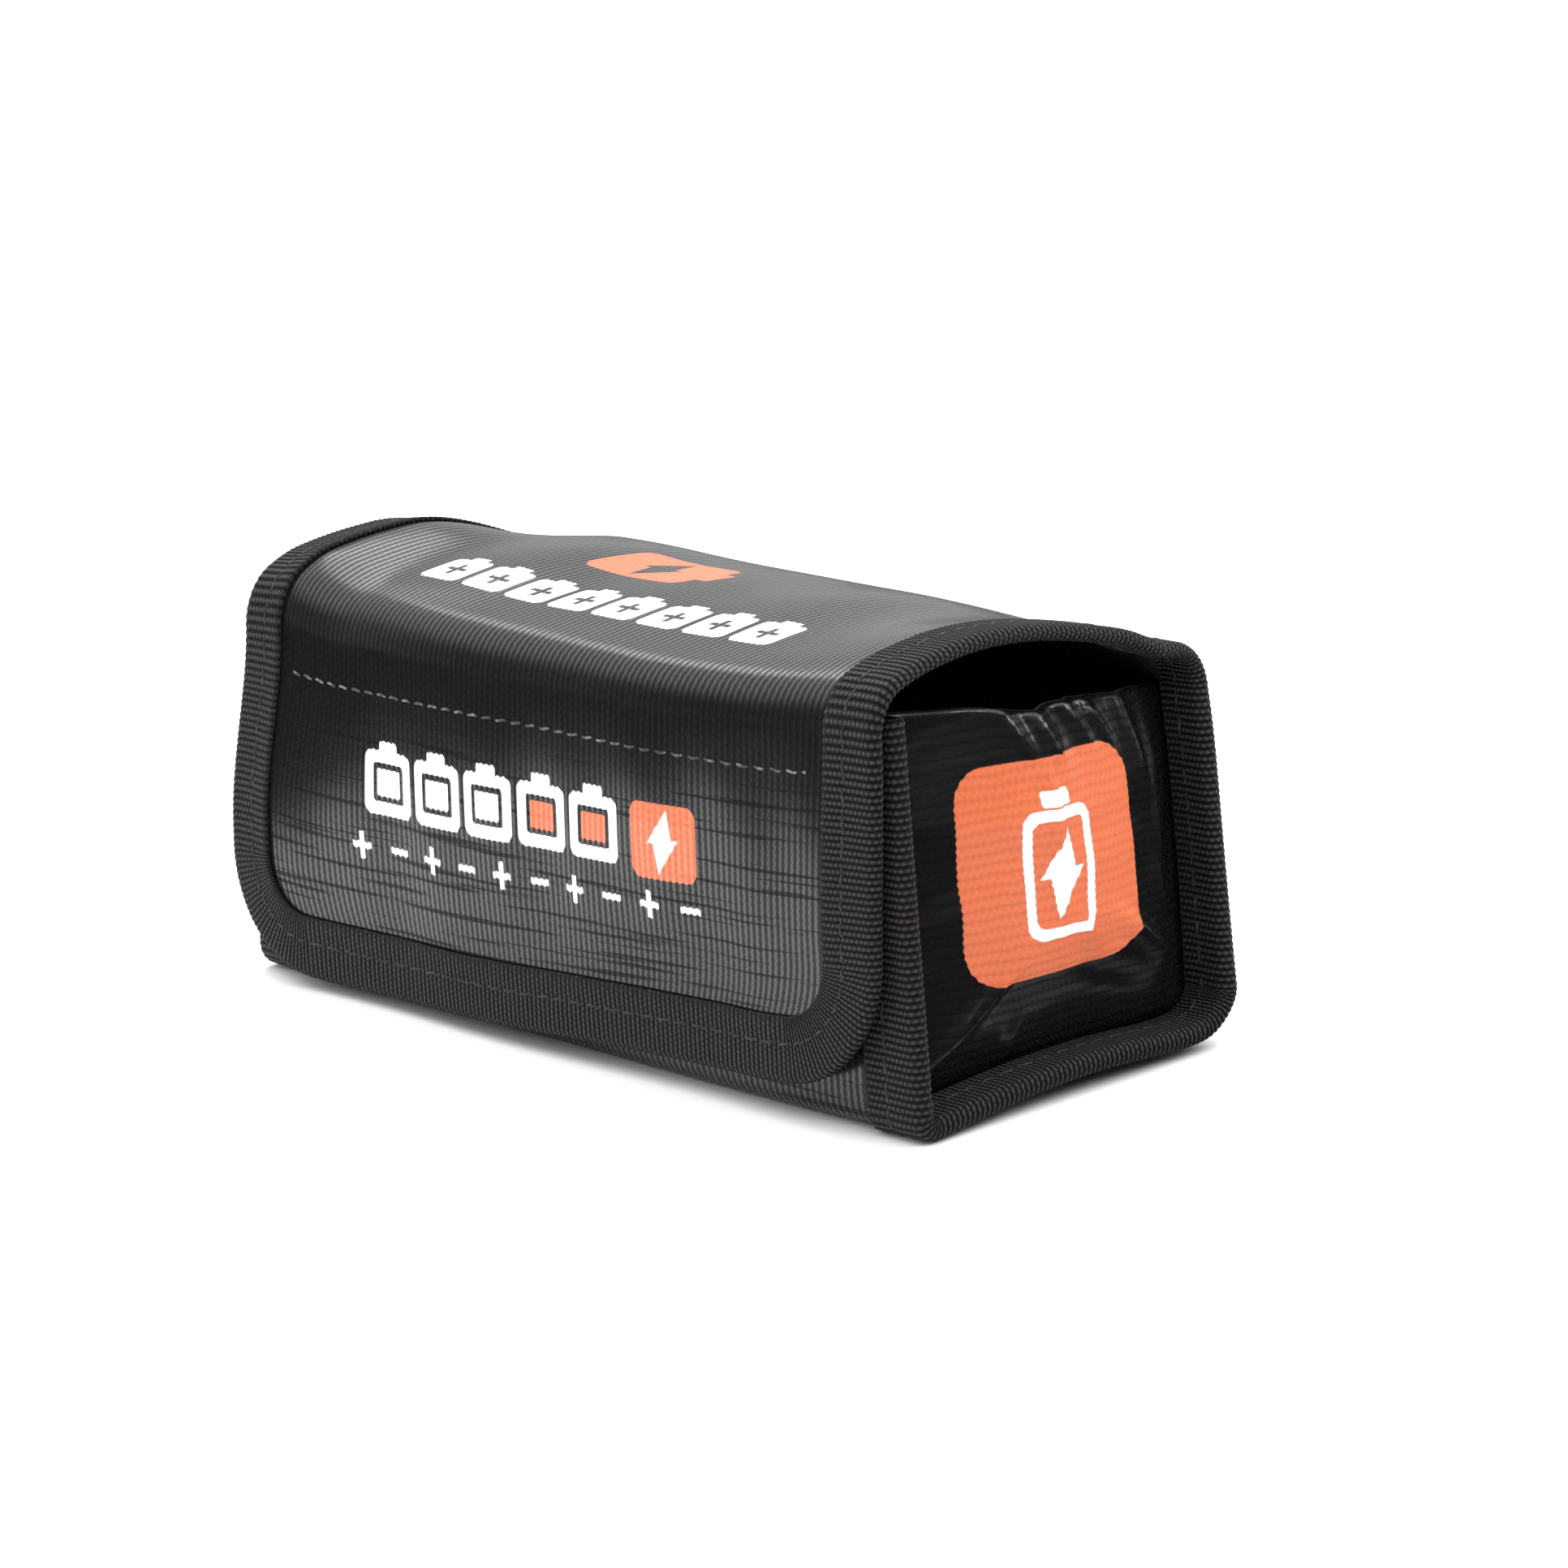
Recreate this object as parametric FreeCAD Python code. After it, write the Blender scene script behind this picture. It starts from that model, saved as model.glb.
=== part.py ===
import FreeCAD, Part
import math
import os

from FreeCAD import Vector

# LiPo safe bag: a soft fire-resistant box bag for RC batteries, sewn from one long strip of coated
# glass cloth (front, bottom, back, lid and flap) and two end gussets, bound with woven tape.
# Frame: millimetres, origin at the centre of the bounding box's bottom, +X along the length,
# -Y at the front where the flap hangs, +Z up.

# Overall sizes
BODY_LENGTH = 160.0
LID_LENGTH = 154.0
CLOTH_DEPTH = 73.4
MOUTH_HEIGHT = 64.5
FLAP_EDGE_HEIGHT = 5.5
MOUTH_CLEARANCE = 2.0

# Thicknesses of the layers
CLOTH = 0.6
LINING = 0.4
TAPE = 0.8
STRIP = 1.2
STRIP_GAP = 0.4

# Binding tape and end gussets
TAPE_LEG = 11.0
GUSSET_INSET = 10.0
TAPE_TO_GUSSET = 1.4
GUSSET_BACK_TOP = 59.0
CREASE_TOP_BULGE = 4.0
CREASE_NODE_BULGE = 8.7
CREASE_NODE_HEIGHT = 28.0

# Folds of the long strip, radii to the outer face of the cloth
BOTTOM_RADIUS = 3.0
REAR_RADIUS = 8.0
FRONT_RADIUS = 5.0
CROWN_ANGLE = 13.0
FOLD_GAP = 0.5
HINGE_CLEARANCE = 0.2

# The flap and the hook-and-loop closure
FLAP_CORNER_RADIUS = 20.0
CLOSURE_HALF_LENGTH = 62.0
CLOSURE_LOW = 19.6
CLOSURE_HEIGHT = 38.0

# The bottom cloth sags to the table between the side tapes
SAG_HALF_LENGTH = 68.0
SAG_EDGE = 4.0

# Sewing thread
STITCH_LENGTH = 2.4
STITCH_WIDTH = 0.5
STITCH_HEIGHT = 0.2
STITCH_PITCH = 4.0
STITCH_INSET = 7.4
STRIP_STITCH_INSET = 2.0
HEM_STITCH_INSET = 6.0

# Depths below the outer face of the cloth where two layers meet
UNDER_CLOTH = CLOTH
UNDER_LINING = CLOTH + LINING
UNDER_SEAM_LINING = UNDER_LINING + LINING
UNDER_SEAM = UNDER_SEAM_LINING + CLOTH

# Where the walls stand
FLAP_STANDOFF = 2.0 * STRIP + STRIP_GAP + UNDER_LINING
BACK_Y = (CLOTH_DEPTH + FLAP_STANDOFF) / 2.0
FRONT_Y = BACK_Y - CLOTH_DEPTH
FLAP_Y = -BACK_Y
BODY_HALF = BODY_LENGTH / 2.0
LID_HALF = LID_LENGTH / 2.0
GUSSET_X = BODY_HALF - GUSSET_INSET
FOLD_ANGLE = 90.0 - CROWN_ANGLE
FLAP_TOP = MOUTH_HEIGHT - MOUTH_CLEARANCE
BACK_TOP = FLAP_TOP - (REAR_RADIUS - FRONT_RADIUS) * math.cos(math.radians(CROWN_ANGLE))
SIDES = {"left": -1, "right": 1}


def section(across, up):
    """A point of the end view, which looks along the length of the bag."""
    return Vector(0, across, up)


def elevation(along, up):
    """A point of the front view."""
    return Vector(along, 0, up)


class Course:
    """The line that a strip follows in one view: straight runs and left-hand bends.

    A depth is measured to the left of the line, towards the inside of every bend.
    """

    def __init__(self, start, heading, moves):
        self.legs = []
        across, up = start
        for move in moves:
            self.legs.append((across, up, heading, move))
            across, up, heading = self.advance(across, up, heading, move, 1.0)
        self.end = (across, up)
        self.end_heading = heading

    @staticmethod
    def advance(across, up, heading, move, share):
        """Go a share of the way along one move."""
        turn = math.radians(heading)
        if move[0] == "run":
            reach = move[1] * share
            return across + reach * math.cos(turn), up + reach * math.sin(turn), heading
        radius = move[1]
        new_heading = heading + move[2] * share
        new_turn = math.radians(new_heading)
        across += radius * (math.sin(new_turn) - math.sin(turn))
        up += radius * (math.cos(turn) - math.cos(new_turn))
        return across, up, new_heading

    @staticmethod
    def beside(across, up, heading, depth):
        """The point at a depth to the left of the line."""
        turn = math.radians(heading)
        return across - depth * math.sin(turn), up + depth * math.cos(turn)

    def station(self, leg, share, depth):
        """A point beside the line and the heading there."""
        across, up, heading, move = leg
        across, up, heading = self.advance(across, up, heading, move, share)
        return self.beside(across, up, heading, depth), heading

    def edges(self, depth, view):
        """The line moved sideways by a depth, as edges in the given view."""
        result = []
        for leg in self.legs:
            first = view(*self.station(leg, 0.0, depth)[0])
            last = view(*self.station(leg, 1.0, depth)[0])
            if leg[3][0] == "run":
                result.append(Part.makeLine(first, last))
            else:
                middle = view(*self.station(leg, 0.5, depth)[0])
                result.append(Part.Arc(first, middle, last).toShape())
        return result

    def tips(self, depth, view):
        """The first and last points of the line moved sideways by a depth."""
        first = view(*self.station(self.legs[0], 0.0, depth)[0])
        last = view(*self.station(self.legs[-1], 1.0, depth)[0])
        return first, last

    def evenly(self, spacing, depth):
        """Points at about one spacing from each other along every leg, with their headings.

        On the hollow side of a bend they are lifted, so that a straight stitch clears it.
        """
        result = []
        for leg in self.legs:
            move = leg[3]
            length = move[1] if move[0] == "run" else math.radians(move[2]) * (move[1] - depth)
            count = int(length / spacing)
            hollow = move[0] == "bend" and depth > 0
            lift = STITCH_LENGTH ** 2 / 8.0 / (move[1] - depth) if hollow else 0.0
            for index in range(count):
                result.append(self.station(leg, (index + 0.5) / count, depth + lift))
        return result


def face_of(edges):
    """The flat face inside a closed outline."""
    return Part.Face(Part.Wire(Part.sortEdges(edges)[0]))


def band(course, near, far, view, low, high):
    """A strip between two depths of a course, extruded across the view."""
    near_first, near_last = course.tips(near, view)
    far_first, far_last = course.tips(far, view)
    outline = course.edges(near, view) + course.edges(far, view)
    outline += [Part.makeLine(near_first, far_first), Part.makeLine(near_last, far_last)]
    return prism(face_of(outline), view, low, high)


def filled(course, depth, view, low, high):
    """Everything to the left of a course, closed by a straight line between its ends."""
    first, last = course.tips(depth, view)
    return prism(face_of(course.edges(depth, view) + [Part.makeLine(first, last)]), view, low, high)


def prism(face, view, low, high):
    """Extrude a face across its view, from one offset to another."""
    across = Vector(1, 0, 0) if view is section else Vector(0, 1, 0)
    moved = face.copy()
    moved.translate(across * low)
    return moved.extrude(across * (high - low))


def box(x_range, y_range, z_range):
    """A box between two corners."""
    size = [high - low for low, high in (x_range, y_range, z_range)]
    return Part.makeBox(*size, Vector(x_range[0], y_range[0], z_range[0]))


def joined(shapes):
    """One clean solid from overlapping or touching ones."""
    result = shapes[0]
    for shape in shapes[1:]:
        result = result.fuse(shape)
    return result.removeSplitter()


def span(side, inner, outer):
    """An X range on the left or right side, from two distances to the middle."""
    return sorted((side * inner, side * outer))


def channel(course, edge, side, under, inner_width):
    """Binding tape folded over the edge of a strip: an outer leg, an inner leg and a rim."""
    low, high = span(side, edge - TAPE_LEG, edge)
    inner_low, inner_high = span(side, edge - inner_width, edge)
    rim_low, rim_high = span(side, edge - TAPE, edge)
    outer_leg = band(course, -TAPE, 0.0, section, low, high)
    inner_leg = band(course, under, under + TAPE, section, inner_low, inner_high)
    rim = band(course, -TAPE, under + TAPE, section, rim_low, rim_high)
    return joined([outer_leg, inner_leg, rim])


def stitch(point, along, outward):
    """One short length of thread that lies on a surface."""
    across = outward.cross(along)
    thread = Part.makeBox(STITCH_LENGTH, STITCH_WIDTH, STITCH_HEIGHT,
                          Vector(-STITCH_LENGTH / 2.0, -STITCH_WIDTH / 2.0, 0))
    turn = FreeCAD.Matrix(along.x, across.x, outward.x, point.x,
                          along.y, across.y, outward.y, point.y,
                          along.z, across.z, outward.z, point.z,
                          0, 0, 0, 1)
    return thread.transformGeometry(turn)


def stitch_row(course, depth, view, offset, faces_out):
    """Stitches along a course, on the outer or the inner face of what lies there.

    In the end view the offset is an X and the stitches lie on the face at the given depth.
    In the front view the offset is a Y and the row runs at the given depth from the edge.
    """
    result = []
    for (across, up), heading in course.evenly(STITCH_PITCH, depth):
        turn = math.radians(heading)
        along = view(math.cos(turn), math.sin(turn))
        if view is section:
            outward = view(math.sin(turn), -math.cos(turn)) * (1 if faces_out else -1)
            point = view(across, up) + Vector(offset, 0, 0)
        else:
            outward = Vector(0, -1 if faces_out else 1, 0)
            point = view(across, up) + Vector(0, offset, 0)
        result.append(stitch(point, along, outward))
    return result


def outer_row(course, edge, side):
    """The row of one seam that shows on the tape's outer leg."""
    return stitch_row(course, -TAPE, section, side * (edge - STITCH_INSET), True)


def inner_row(course, edge, side, under):
    """The row of one seam that shows on the tape's inner leg."""
    return stitch_row(course, under + TAPE, section, side * (edge - STITCH_INSET), False)


# The line of the outer cloth, from the front mouth round the bag to the flap

def wrap_courses():
    """The five stretches of the long strip, each starting where the last one ended."""
    crown_sine = math.sin(math.radians(CROWN_ANGLE))
    crown_radius = (2.0 * BACK_Y - (REAR_RADIUS + FRONT_RADIUS) * (1.0 - crown_sine)) / (2.0 * crown_sine)
    rear_gap = math.degrees(FOLD_GAP / 2.0 / REAR_RADIUS)
    front_gap = math.degrees(FOLD_GAP / 2.0 / FRONT_RADIUS)
    corner = TAPE + BOTTOM_RADIUS

    front = Course((FRONT_Y, MOUTH_HEIGHT), 270.0, [("run", MOUTH_HEIGHT - corner)])
    bottom = Course(front.end, front.end_heading, [
        ("bend", BOTTOM_RADIUS, 90.0),
        ("run", CLOTH_DEPTH - 2.0 * BOTTOM_RADIUS),
        ("bend", BOTTOM_RADIUS, 90.0)])
    back = Course(bottom.end, bottom.end_heading, [
        ("run", BACK_TOP - corner),
        ("bend", REAR_RADIUS, FOLD_ANGLE / 2.0 - rear_gap)])
    rear_slit = Course(back.end, back.end_heading, [("bend", REAR_RADIUS, 2.0 * rear_gap)])
    lid = Course(rear_slit.end, rear_slit.end_heading, [
        ("bend", REAR_RADIUS, FOLD_ANGLE / 2.0 - rear_gap),
        ("bend", crown_radius, 2.0 * CROWN_ANGLE),
        ("bend", FRONT_RADIUS, FOLD_ANGLE / 2.0 - front_gap)])
    front_slit = Course(lid.end, lid.end_heading, [("bend", FRONT_RADIUS, 2.0 * front_gap)])
    flap_fold = Course(front_slit.end, front_slit.end_heading, [
        ("bend", FRONT_RADIUS, FOLD_ANGLE / 2.0 - front_gap)])
    return front, bottom, back, lid, flap_fold


def flap_outline(top):
    """The edge of the flap in the front view: down the left side, along the bottom and up."""
    straight = top - FLAP_EDGE_HEIGHT - FLAP_CORNER_RADIUS
    return Course((-LID_HALF, top), 270.0, [
        ("run", straight),
        ("bend", FLAP_CORNER_RADIUS, 90.0),
        ("run", LID_LENGTH - 2.0 * FLAP_CORNER_RADIUS),
        ("bend", FLAP_CORNER_RADIUS, 90.0),
        ("run", straight)])


def wall(course, near, far):
    """A layer of the long strip in the bag, as wide as the tapes' rims leave room for."""
    return band(course, near, far, section, -BODY_HALF + TAPE, BODY_HALF - TAPE)


def sagging(layer, top, near):
    """Let the middle of a bottom layer down to the table, by the thickness of the tape.

    Args: layer is the flat layer, top its upper face and near the depth of its lower face.
    """
    half_depth = CLOTH_DEPTH / 2.0 - SAG_EDGE
    middle = FRONT_Y + CLOTH_DEPTH / 2.0
    thickness = top - TAPE - near
    outer_x = (-SAG_HALF_LENGTH + near, SAG_HALF_LENGTH - near)
    outer_y = (middle - half_depth + near, middle + half_depth - near)
    inner_x = (outer_x[0] + thickness, outer_x[1] - thickness)
    inner_y = (outer_y[0] + thickness, outer_y[1] - thickness)
    dip = box(outer_x, outer_y, (near, top))
    hollow = box(inner_x, inner_y, (near + thickness, top))
    return layer.cut(box(inner_x, inner_y, (near, top))).fuse(dip.cut(hollow)).removeSplitter()


def gusset_layer(side, depth, thickness, inside):
    """One layer of a gusset: five flat facets that meet at its outward Y-shaped ridge.

    Args: side is -1 or 1, depth is the layer's distance inside the outer face, inside is the
    space between the walls, which trims the facets' edges.
    """
    middle = FRONT_Y + CLOTH_DEPTH / 2.0
    front_top = Vector(GUSSET_X, FRONT_Y, MOUTH_HEIGHT)
    front_foot = Vector(GUSSET_X, FRONT_Y, TAPE)
    back_top = Vector(GUSSET_X, BACK_Y, GUSSET_BACK_TOP)
    back_foot = Vector(GUSSET_X, BACK_Y, TAPE)
    crease_top = Vector(GUSSET_X + CREASE_TOP_BULGE, middle, (MOUTH_HEIGHT + GUSSET_BACK_TOP) / 2.0)
    crease_node = Vector(GUSSET_X + CREASE_NODE_BULGE, middle, CREASE_NODE_HEIGHT)
    facets = [
        (front_top, crease_top, crease_node),
        (front_top, crease_node, front_foot),
        (back_top, crease_node, crease_top),
        (back_top, back_foot, crease_node),
        (front_foot, crease_node, back_foot)]
    pieces = []
    for corners in facets:
        placed = [Vector(side * (corner.x - depth), corner.y, corner.z) for corner in corners]
        triangle = Part.Face(Part.makePolygon(placed + placed[:1]))
        pieces.append(triangle.extrude(Vector(-side * thickness, 0, 0)))
    return joined(pieces).common(inside)


def gusset_flange(courses, side, near, far, corner):
    """The gusset's seam allowance, turned outward along the front, the bottom and the back.

    Args: side is -1 or 1, near and far are the depths of its faces, corner is the distance
    inside the gusset's outer face where the allowance starts.
    """
    low, high = span(side, GUSSET_X - corner, BODY_HALF - TAPE)
    return [band(course, near, far, section, low, high) for course in courses]


def build_bag(front, bottom, back):
    """The bag's body: three walls of the long strip, two gussets and the tape on their seams."""
    parts = {}
    parts["front_panel_outer"] = wall(front, 0.0, UNDER_CLOTH)
    parts["front_panel_lining"] = wall(front, UNDER_CLOTH, UNDER_LINING)
    parts["bottom_panel_outer"] = sagging(wall(bottom, 0.0, UNDER_CLOTH), TAPE + UNDER_CLOTH, 0.0)
    parts["bottom_panel_lining"] = sagging(
        wall(bottom, UNDER_CLOTH, UNDER_LINING), TAPE + UNDER_LINING, UNDER_CLOTH)
    parts["back_panel_outer"] = wall(back, 0.0, UNDER_CLOTH)
    parts["back_panel_lining"] = wall(back, UNDER_CLOTH, UNDER_LINING)

    back_straight = Course(bottom.end, bottom.end_heading, [("run", GUSSET_BACK_TOP - bottom.end[1])])
    seam = (front, bottom, back_straight)
    round_bag = Course((FRONT_Y, MOUTH_HEIGHT), 270.0,
                       [front.legs[0][3]] + [leg[3] for leg in bottom.legs] + [back_straight.legs[0][3]])
    for name, side in SIDES.items():
        low, high = span(side, 0.0, BODY_HALF)
        lining_space = filled(round_bag, UNDER_LINING, section, low, high)
        outer_space = filled(round_bag, UNDER_SEAM_LINING, section, low, high)
        parts[name + "_gusset_lining"] = joined(
            [gusset_layer(side, CLOTH, LINING, lining_space)]
            + gusset_flange(seam, side, UNDER_LINING, UNDER_SEAM_LINING, CLOTH))
        parts[name + "_gusset_outer"] = joined(
            [gusset_layer(side, 0.0, CLOTH, outer_space)]
            + gusset_flange(seam, side, UNDER_SEAM_LINING, UNDER_SEAM, 0.0)).cut(
                parts[name + "_gusset_lining"])
        inner_width = GUSSET_INSET - TAPE_TO_GUSSET
        for place, course in zip(("front", "bottom", "back"), (front, bottom, back)):
            parts["{}_{}_tape".format(place, name)] = channel(
                course, BODY_HALF, side, UNDER_SEAM, inner_width)
        rows = [outer_row(course, BODY_HALF, side) for course in (front, back)]
        rows += [inner_row(course, BODY_HALF, side, UNDER_SEAM) for course in (front, bottom, back)]
        parts[name + "_seam_stitches"] = Part.makeCompound(sum(rows, []))
    return parts


def hinge_line(radius, centre, forward):
    """Where one fold turns: just outside the tape, half way round the fold.

    Args: radius is the fold's, centre its middle in the end view, forward is -1 at the front
    and 1 at the rear. Returns the Y and Z of the line, which runs along X.
    """
    reach = radius + TAPE + HINGE_CLEARANCE
    turn = math.radians(FOLD_ANGLE / 2.0)
    return centre[0] + forward * reach * math.cos(turn), centre[1] + reach * math.sin(turn)


def build_closure():
    """The hook strip inside the flap and the loop strip on the front panel, with their thread."""
    parts = {}
    length = (-CLOSURE_HALF_LENGTH, CLOSURE_HALF_LENGTH)
    height = (CLOSURE_LOW, CLOSURE_LOW + CLOSURE_HEIGHT)
    parts["loop_strip"] = box(length, (FRONT_Y - STRIP, FRONT_Y), height)
    hook_back = FLAP_Y + UNDER_LINING
    parts["hook_strip"] = box(length, (hook_back, hook_back + STRIP), height)
    row_low = (-CLOSURE_HALF_LENGTH, CLOSURE_LOW + STRIP_STITCH_INSET)
    row_high = (-CLOSURE_HALF_LENGTH, CLOSURE_LOW + CLOSURE_HEIGHT - STRIP_STITCH_INSET)
    rows = [Course(row, 0.0, [("run", 2.0 * CLOSURE_HALF_LENGTH)]) for row in (row_low, row_high)]
    on_loop = [stitch_row(row, 0.0, elevation, FRONT_Y - STRIP, True) for row in rows]
    parts["loop_strip_stitches"] = Part.makeCompound(sum(on_loop, []))
    on_flap = stitch_row(rows[1], 0.0, elevation, FLAP_Y, True)
    parts["hook_strip_stitches"] = Part.makeCompound(on_flap)
    hem_half = BODY_HALF - TAPE_LEG
    hem = Course((-hem_half, MOUTH_HEIGHT - HEM_STITCH_INSET), 0.0, [("run", 2.0 * hem_half)])
    on_hem = stitch_row(hem, 0.0, elevation, FRONT_Y, True)
    parts["front_hem_stitches"] = Part.makeCompound(on_hem)
    return parts


def build_lid(lid):
    """The lid: the crowned stretch of the long strip between the rear and front folds."""
    parts = {}
    low, high = -LID_HALF + TAPE, LID_HALF - TAPE
    parts["lid_outer"] = band(lid, 0.0, UNDER_CLOTH, section, low, high)
    parts["lid_lining"] = band(lid, UNDER_CLOTH, UNDER_LINING, section, low, high)
    rows = []
    for name, side in SIDES.items():
        parts["lid_{}_tape".format(name)] = channel(lid, LID_HALF, side, UNDER_LINING, TAPE_LEG)
        rows += outer_row(lid, LID_HALF, side)
        rows += inner_row(lid, LID_HALF, side, UNDER_LINING)
    parts["lid_stitches"] = Part.makeCompound(rows)
    return parts


def build_flap(flap_fold):
    """The flap: the end of the long strip, which hangs in front, bound round its free edge."""
    parts = {}
    top = flap_fold.end[1]
    outline = flap_outline(top)
    low, high = -LID_HALF + TAPE, LID_HALF - TAPE
    for name, near, far in (("outer", 0.0, UNDER_CLOTH), ("lining", UNDER_CLOTH, UNDER_LINING)):
        hanging = filled(outline, TAPE, elevation, FLAP_Y + near, FLAP_Y + far)
        folded = band(flap_fold, near, far, section, low, high)
        parts["flap_" + name] = joined([hanging, folded])
    inner_leg = (FLAP_Y + UNDER_LINING, FLAP_Y + UNDER_LINING + TAPE)
    legs = [
        band(outline, 0.0, TAPE_LEG, elevation, FLAP_Y - TAPE, FLAP_Y),
        band(outline, 0.0, TAPE_LEG, elevation, *inner_leg),
        band(outline, 0.0, TAPE, elevation, FLAP_Y - TAPE, inner_leg[1])]
    rows = stitch_row(outline, STITCH_INSET, elevation, FLAP_Y - TAPE, True)
    rows += stitch_row(outline, STITCH_INSET, elevation, inner_leg[1], False)
    for side in SIDES.values():
        legs.append(channel(flap_fold, LID_HALF, side, UNDER_LINING, TAPE_LEG))
    parts["flap_tape"] = joined(legs)
    parts["flap_tape_stitches"] = Part.makeCompound(rows)
    return parts


def build():
    """Every sub-part by name."""
    front, bottom, back, lid, flap_fold = wrap_courses()
    parts = build_bag(front, bottom, back)
    parts.update(build_closure())
    parts.update(build_lid(lid))
    parts.update(build_flap(flap_fold))
    return parts


os.makedirs("parts", exist_ok=True)
for node, shape in build().items():
    shape.exportStep("parts/{}.step".format(node))
    print(node, len(shape.Solids), round(shape.Volume, 1), shape.isValid())
print("lid hinge", hinge_line(REAR_RADIUS, (BACK_Y - REAR_RADIUS, BACK_TOP), 1))
print("flap hinge", hinge_line(FRONT_RADIUS, (FLAP_Y + FRONT_RADIUS, FLAP_TOP), -1))
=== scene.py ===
import logging
import math
from dataclasses import dataclass, field
from enum import Enum
from typing import Callable

import bmesh
import bpy
import numpy as np
from mathutils import Matrix, Vector


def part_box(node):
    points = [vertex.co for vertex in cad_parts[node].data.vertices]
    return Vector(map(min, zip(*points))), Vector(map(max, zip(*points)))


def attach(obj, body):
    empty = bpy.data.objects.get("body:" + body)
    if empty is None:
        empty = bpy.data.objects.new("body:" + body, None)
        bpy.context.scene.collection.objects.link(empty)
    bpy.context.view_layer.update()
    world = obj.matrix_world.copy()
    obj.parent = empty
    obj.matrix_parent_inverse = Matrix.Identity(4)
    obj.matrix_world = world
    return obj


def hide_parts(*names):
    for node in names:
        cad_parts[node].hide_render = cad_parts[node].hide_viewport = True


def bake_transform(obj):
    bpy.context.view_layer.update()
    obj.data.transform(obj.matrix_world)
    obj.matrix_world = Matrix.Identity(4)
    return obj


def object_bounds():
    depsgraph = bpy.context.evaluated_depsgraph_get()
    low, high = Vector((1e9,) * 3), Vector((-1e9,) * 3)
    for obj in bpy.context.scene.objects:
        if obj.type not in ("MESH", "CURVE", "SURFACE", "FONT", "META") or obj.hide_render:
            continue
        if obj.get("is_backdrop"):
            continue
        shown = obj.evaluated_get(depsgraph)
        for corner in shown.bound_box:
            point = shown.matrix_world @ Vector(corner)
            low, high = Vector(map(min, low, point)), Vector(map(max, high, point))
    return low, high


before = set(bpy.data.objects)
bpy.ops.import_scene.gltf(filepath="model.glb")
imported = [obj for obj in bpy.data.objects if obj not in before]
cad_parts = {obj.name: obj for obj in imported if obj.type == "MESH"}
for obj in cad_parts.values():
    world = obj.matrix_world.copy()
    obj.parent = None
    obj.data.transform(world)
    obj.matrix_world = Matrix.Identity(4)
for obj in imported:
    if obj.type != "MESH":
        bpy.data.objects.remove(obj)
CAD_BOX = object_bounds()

log = logging.getLogger("lipo_safe_bag")

MM = 0.001
Field = np.ndarray


# Small helpers for shapes

def ease(value: Field, low: float, high: float) -> Field:
    """Go smoothly from 0 at low to 1 at high, which may be the smaller one."""
    share = np.clip((value - low) / (high - low), 0.0, 1.0)
    return share * share * (3.0 - 2.0 * share)


def hump(value: Field, middle: float, width: float) -> Field:
    """A soft bump of height 1 round a middle."""
    return np.exp(-((value - middle) / width) ** 2)


def evenly(low: float, high: float, pitch: float) -> Field:
    """Values from low to high, about one pitch apart."""
    return np.linspace(low, high, max(2, int(round(abs(high - low) / pitch)) + 1))


@dataclass(frozen=True)
class Run:
    """A straight stretch of a line, in millimetres."""

    length: float


@dataclass(frozen=True)
class Bend:
    """A left-hand bend of a line, with its radius in millimetres and its angle in degrees."""

    radius: float
    angle: float


@dataclass(frozen=True)
class Leg:
    """One stretch of a laid-out line: where it starts, which way it heads and how it bends."""

    along: float
    across: float
    up: float
    turn: float
    radius: float


class Line:
    """A flat line of straight runs and left-hand bends, measured along its length."""

    def __init__(self, start: tuple[float, float], heading: float, moves: list[Run | Bend]) -> None:
        """Lay the moves out one after the other.

        Args:
            start: the first point.
            heading: the first direction, in degrees from the first axis.
            moves: the runs and bends in order.
        """
        self.legs: list[Leg] = []
        self.stops: list[float] = [0.0]
        across, up, turn, along = start[0], start[1], math.radians(heading), 0.0
        for move in moves:
            radius = move.radius if isinstance(move, Bend) else 0.0
            length = move.length if isinstance(move, Run) else radius * math.radians(move.angle)
            self.legs.append(Leg(along, across, up, turn, radius))
            along += length
            self.stops.append(along)
            across, up, turn = (float(value) for value in self.on_leg(self.legs[-1], length))

    @staticmethod
    def on_leg(leg: Leg, reach: Field | float) -> tuple:
        """Follow one leg for a distance.

        Returns:
            The two coordinates there and the heading in radians.
        """
        if leg.radius == 0.0:
            return (leg.across + reach * math.cos(leg.turn), leg.up + reach * math.sin(leg.turn),
                    leg.turn + 0 * reach)
        turn = leg.turn + reach / leg.radius
        return (leg.across + leg.radius * (np.sin(turn) - math.sin(leg.turn)),
                leg.up + leg.radius * (math.cos(leg.turn) - np.cos(turn)), turn)

    def locate(self, along: Field) -> tuple[Field, Field, Field]:
        """Find the points at distances along the line.

        Args:
            along: distances, which may run past either end.

        Returns:
            The two coordinates and the heading at each distance.
        """
        along = np.asarray(along, float)
        found = np.zeros((3,) + along.shape)
        for index, leg in enumerate(self.legs):
            low = self.stops[index] if index else -np.inf
            high = self.stops[index + 1] if index + 1 < len(self.legs) else np.inf
            here = (along >= low) & (along < high)
            found[:, here] = np.array(self.on_leg(leg, along[here] - leg.along))
        return found[0], found[1], found[2]


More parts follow.
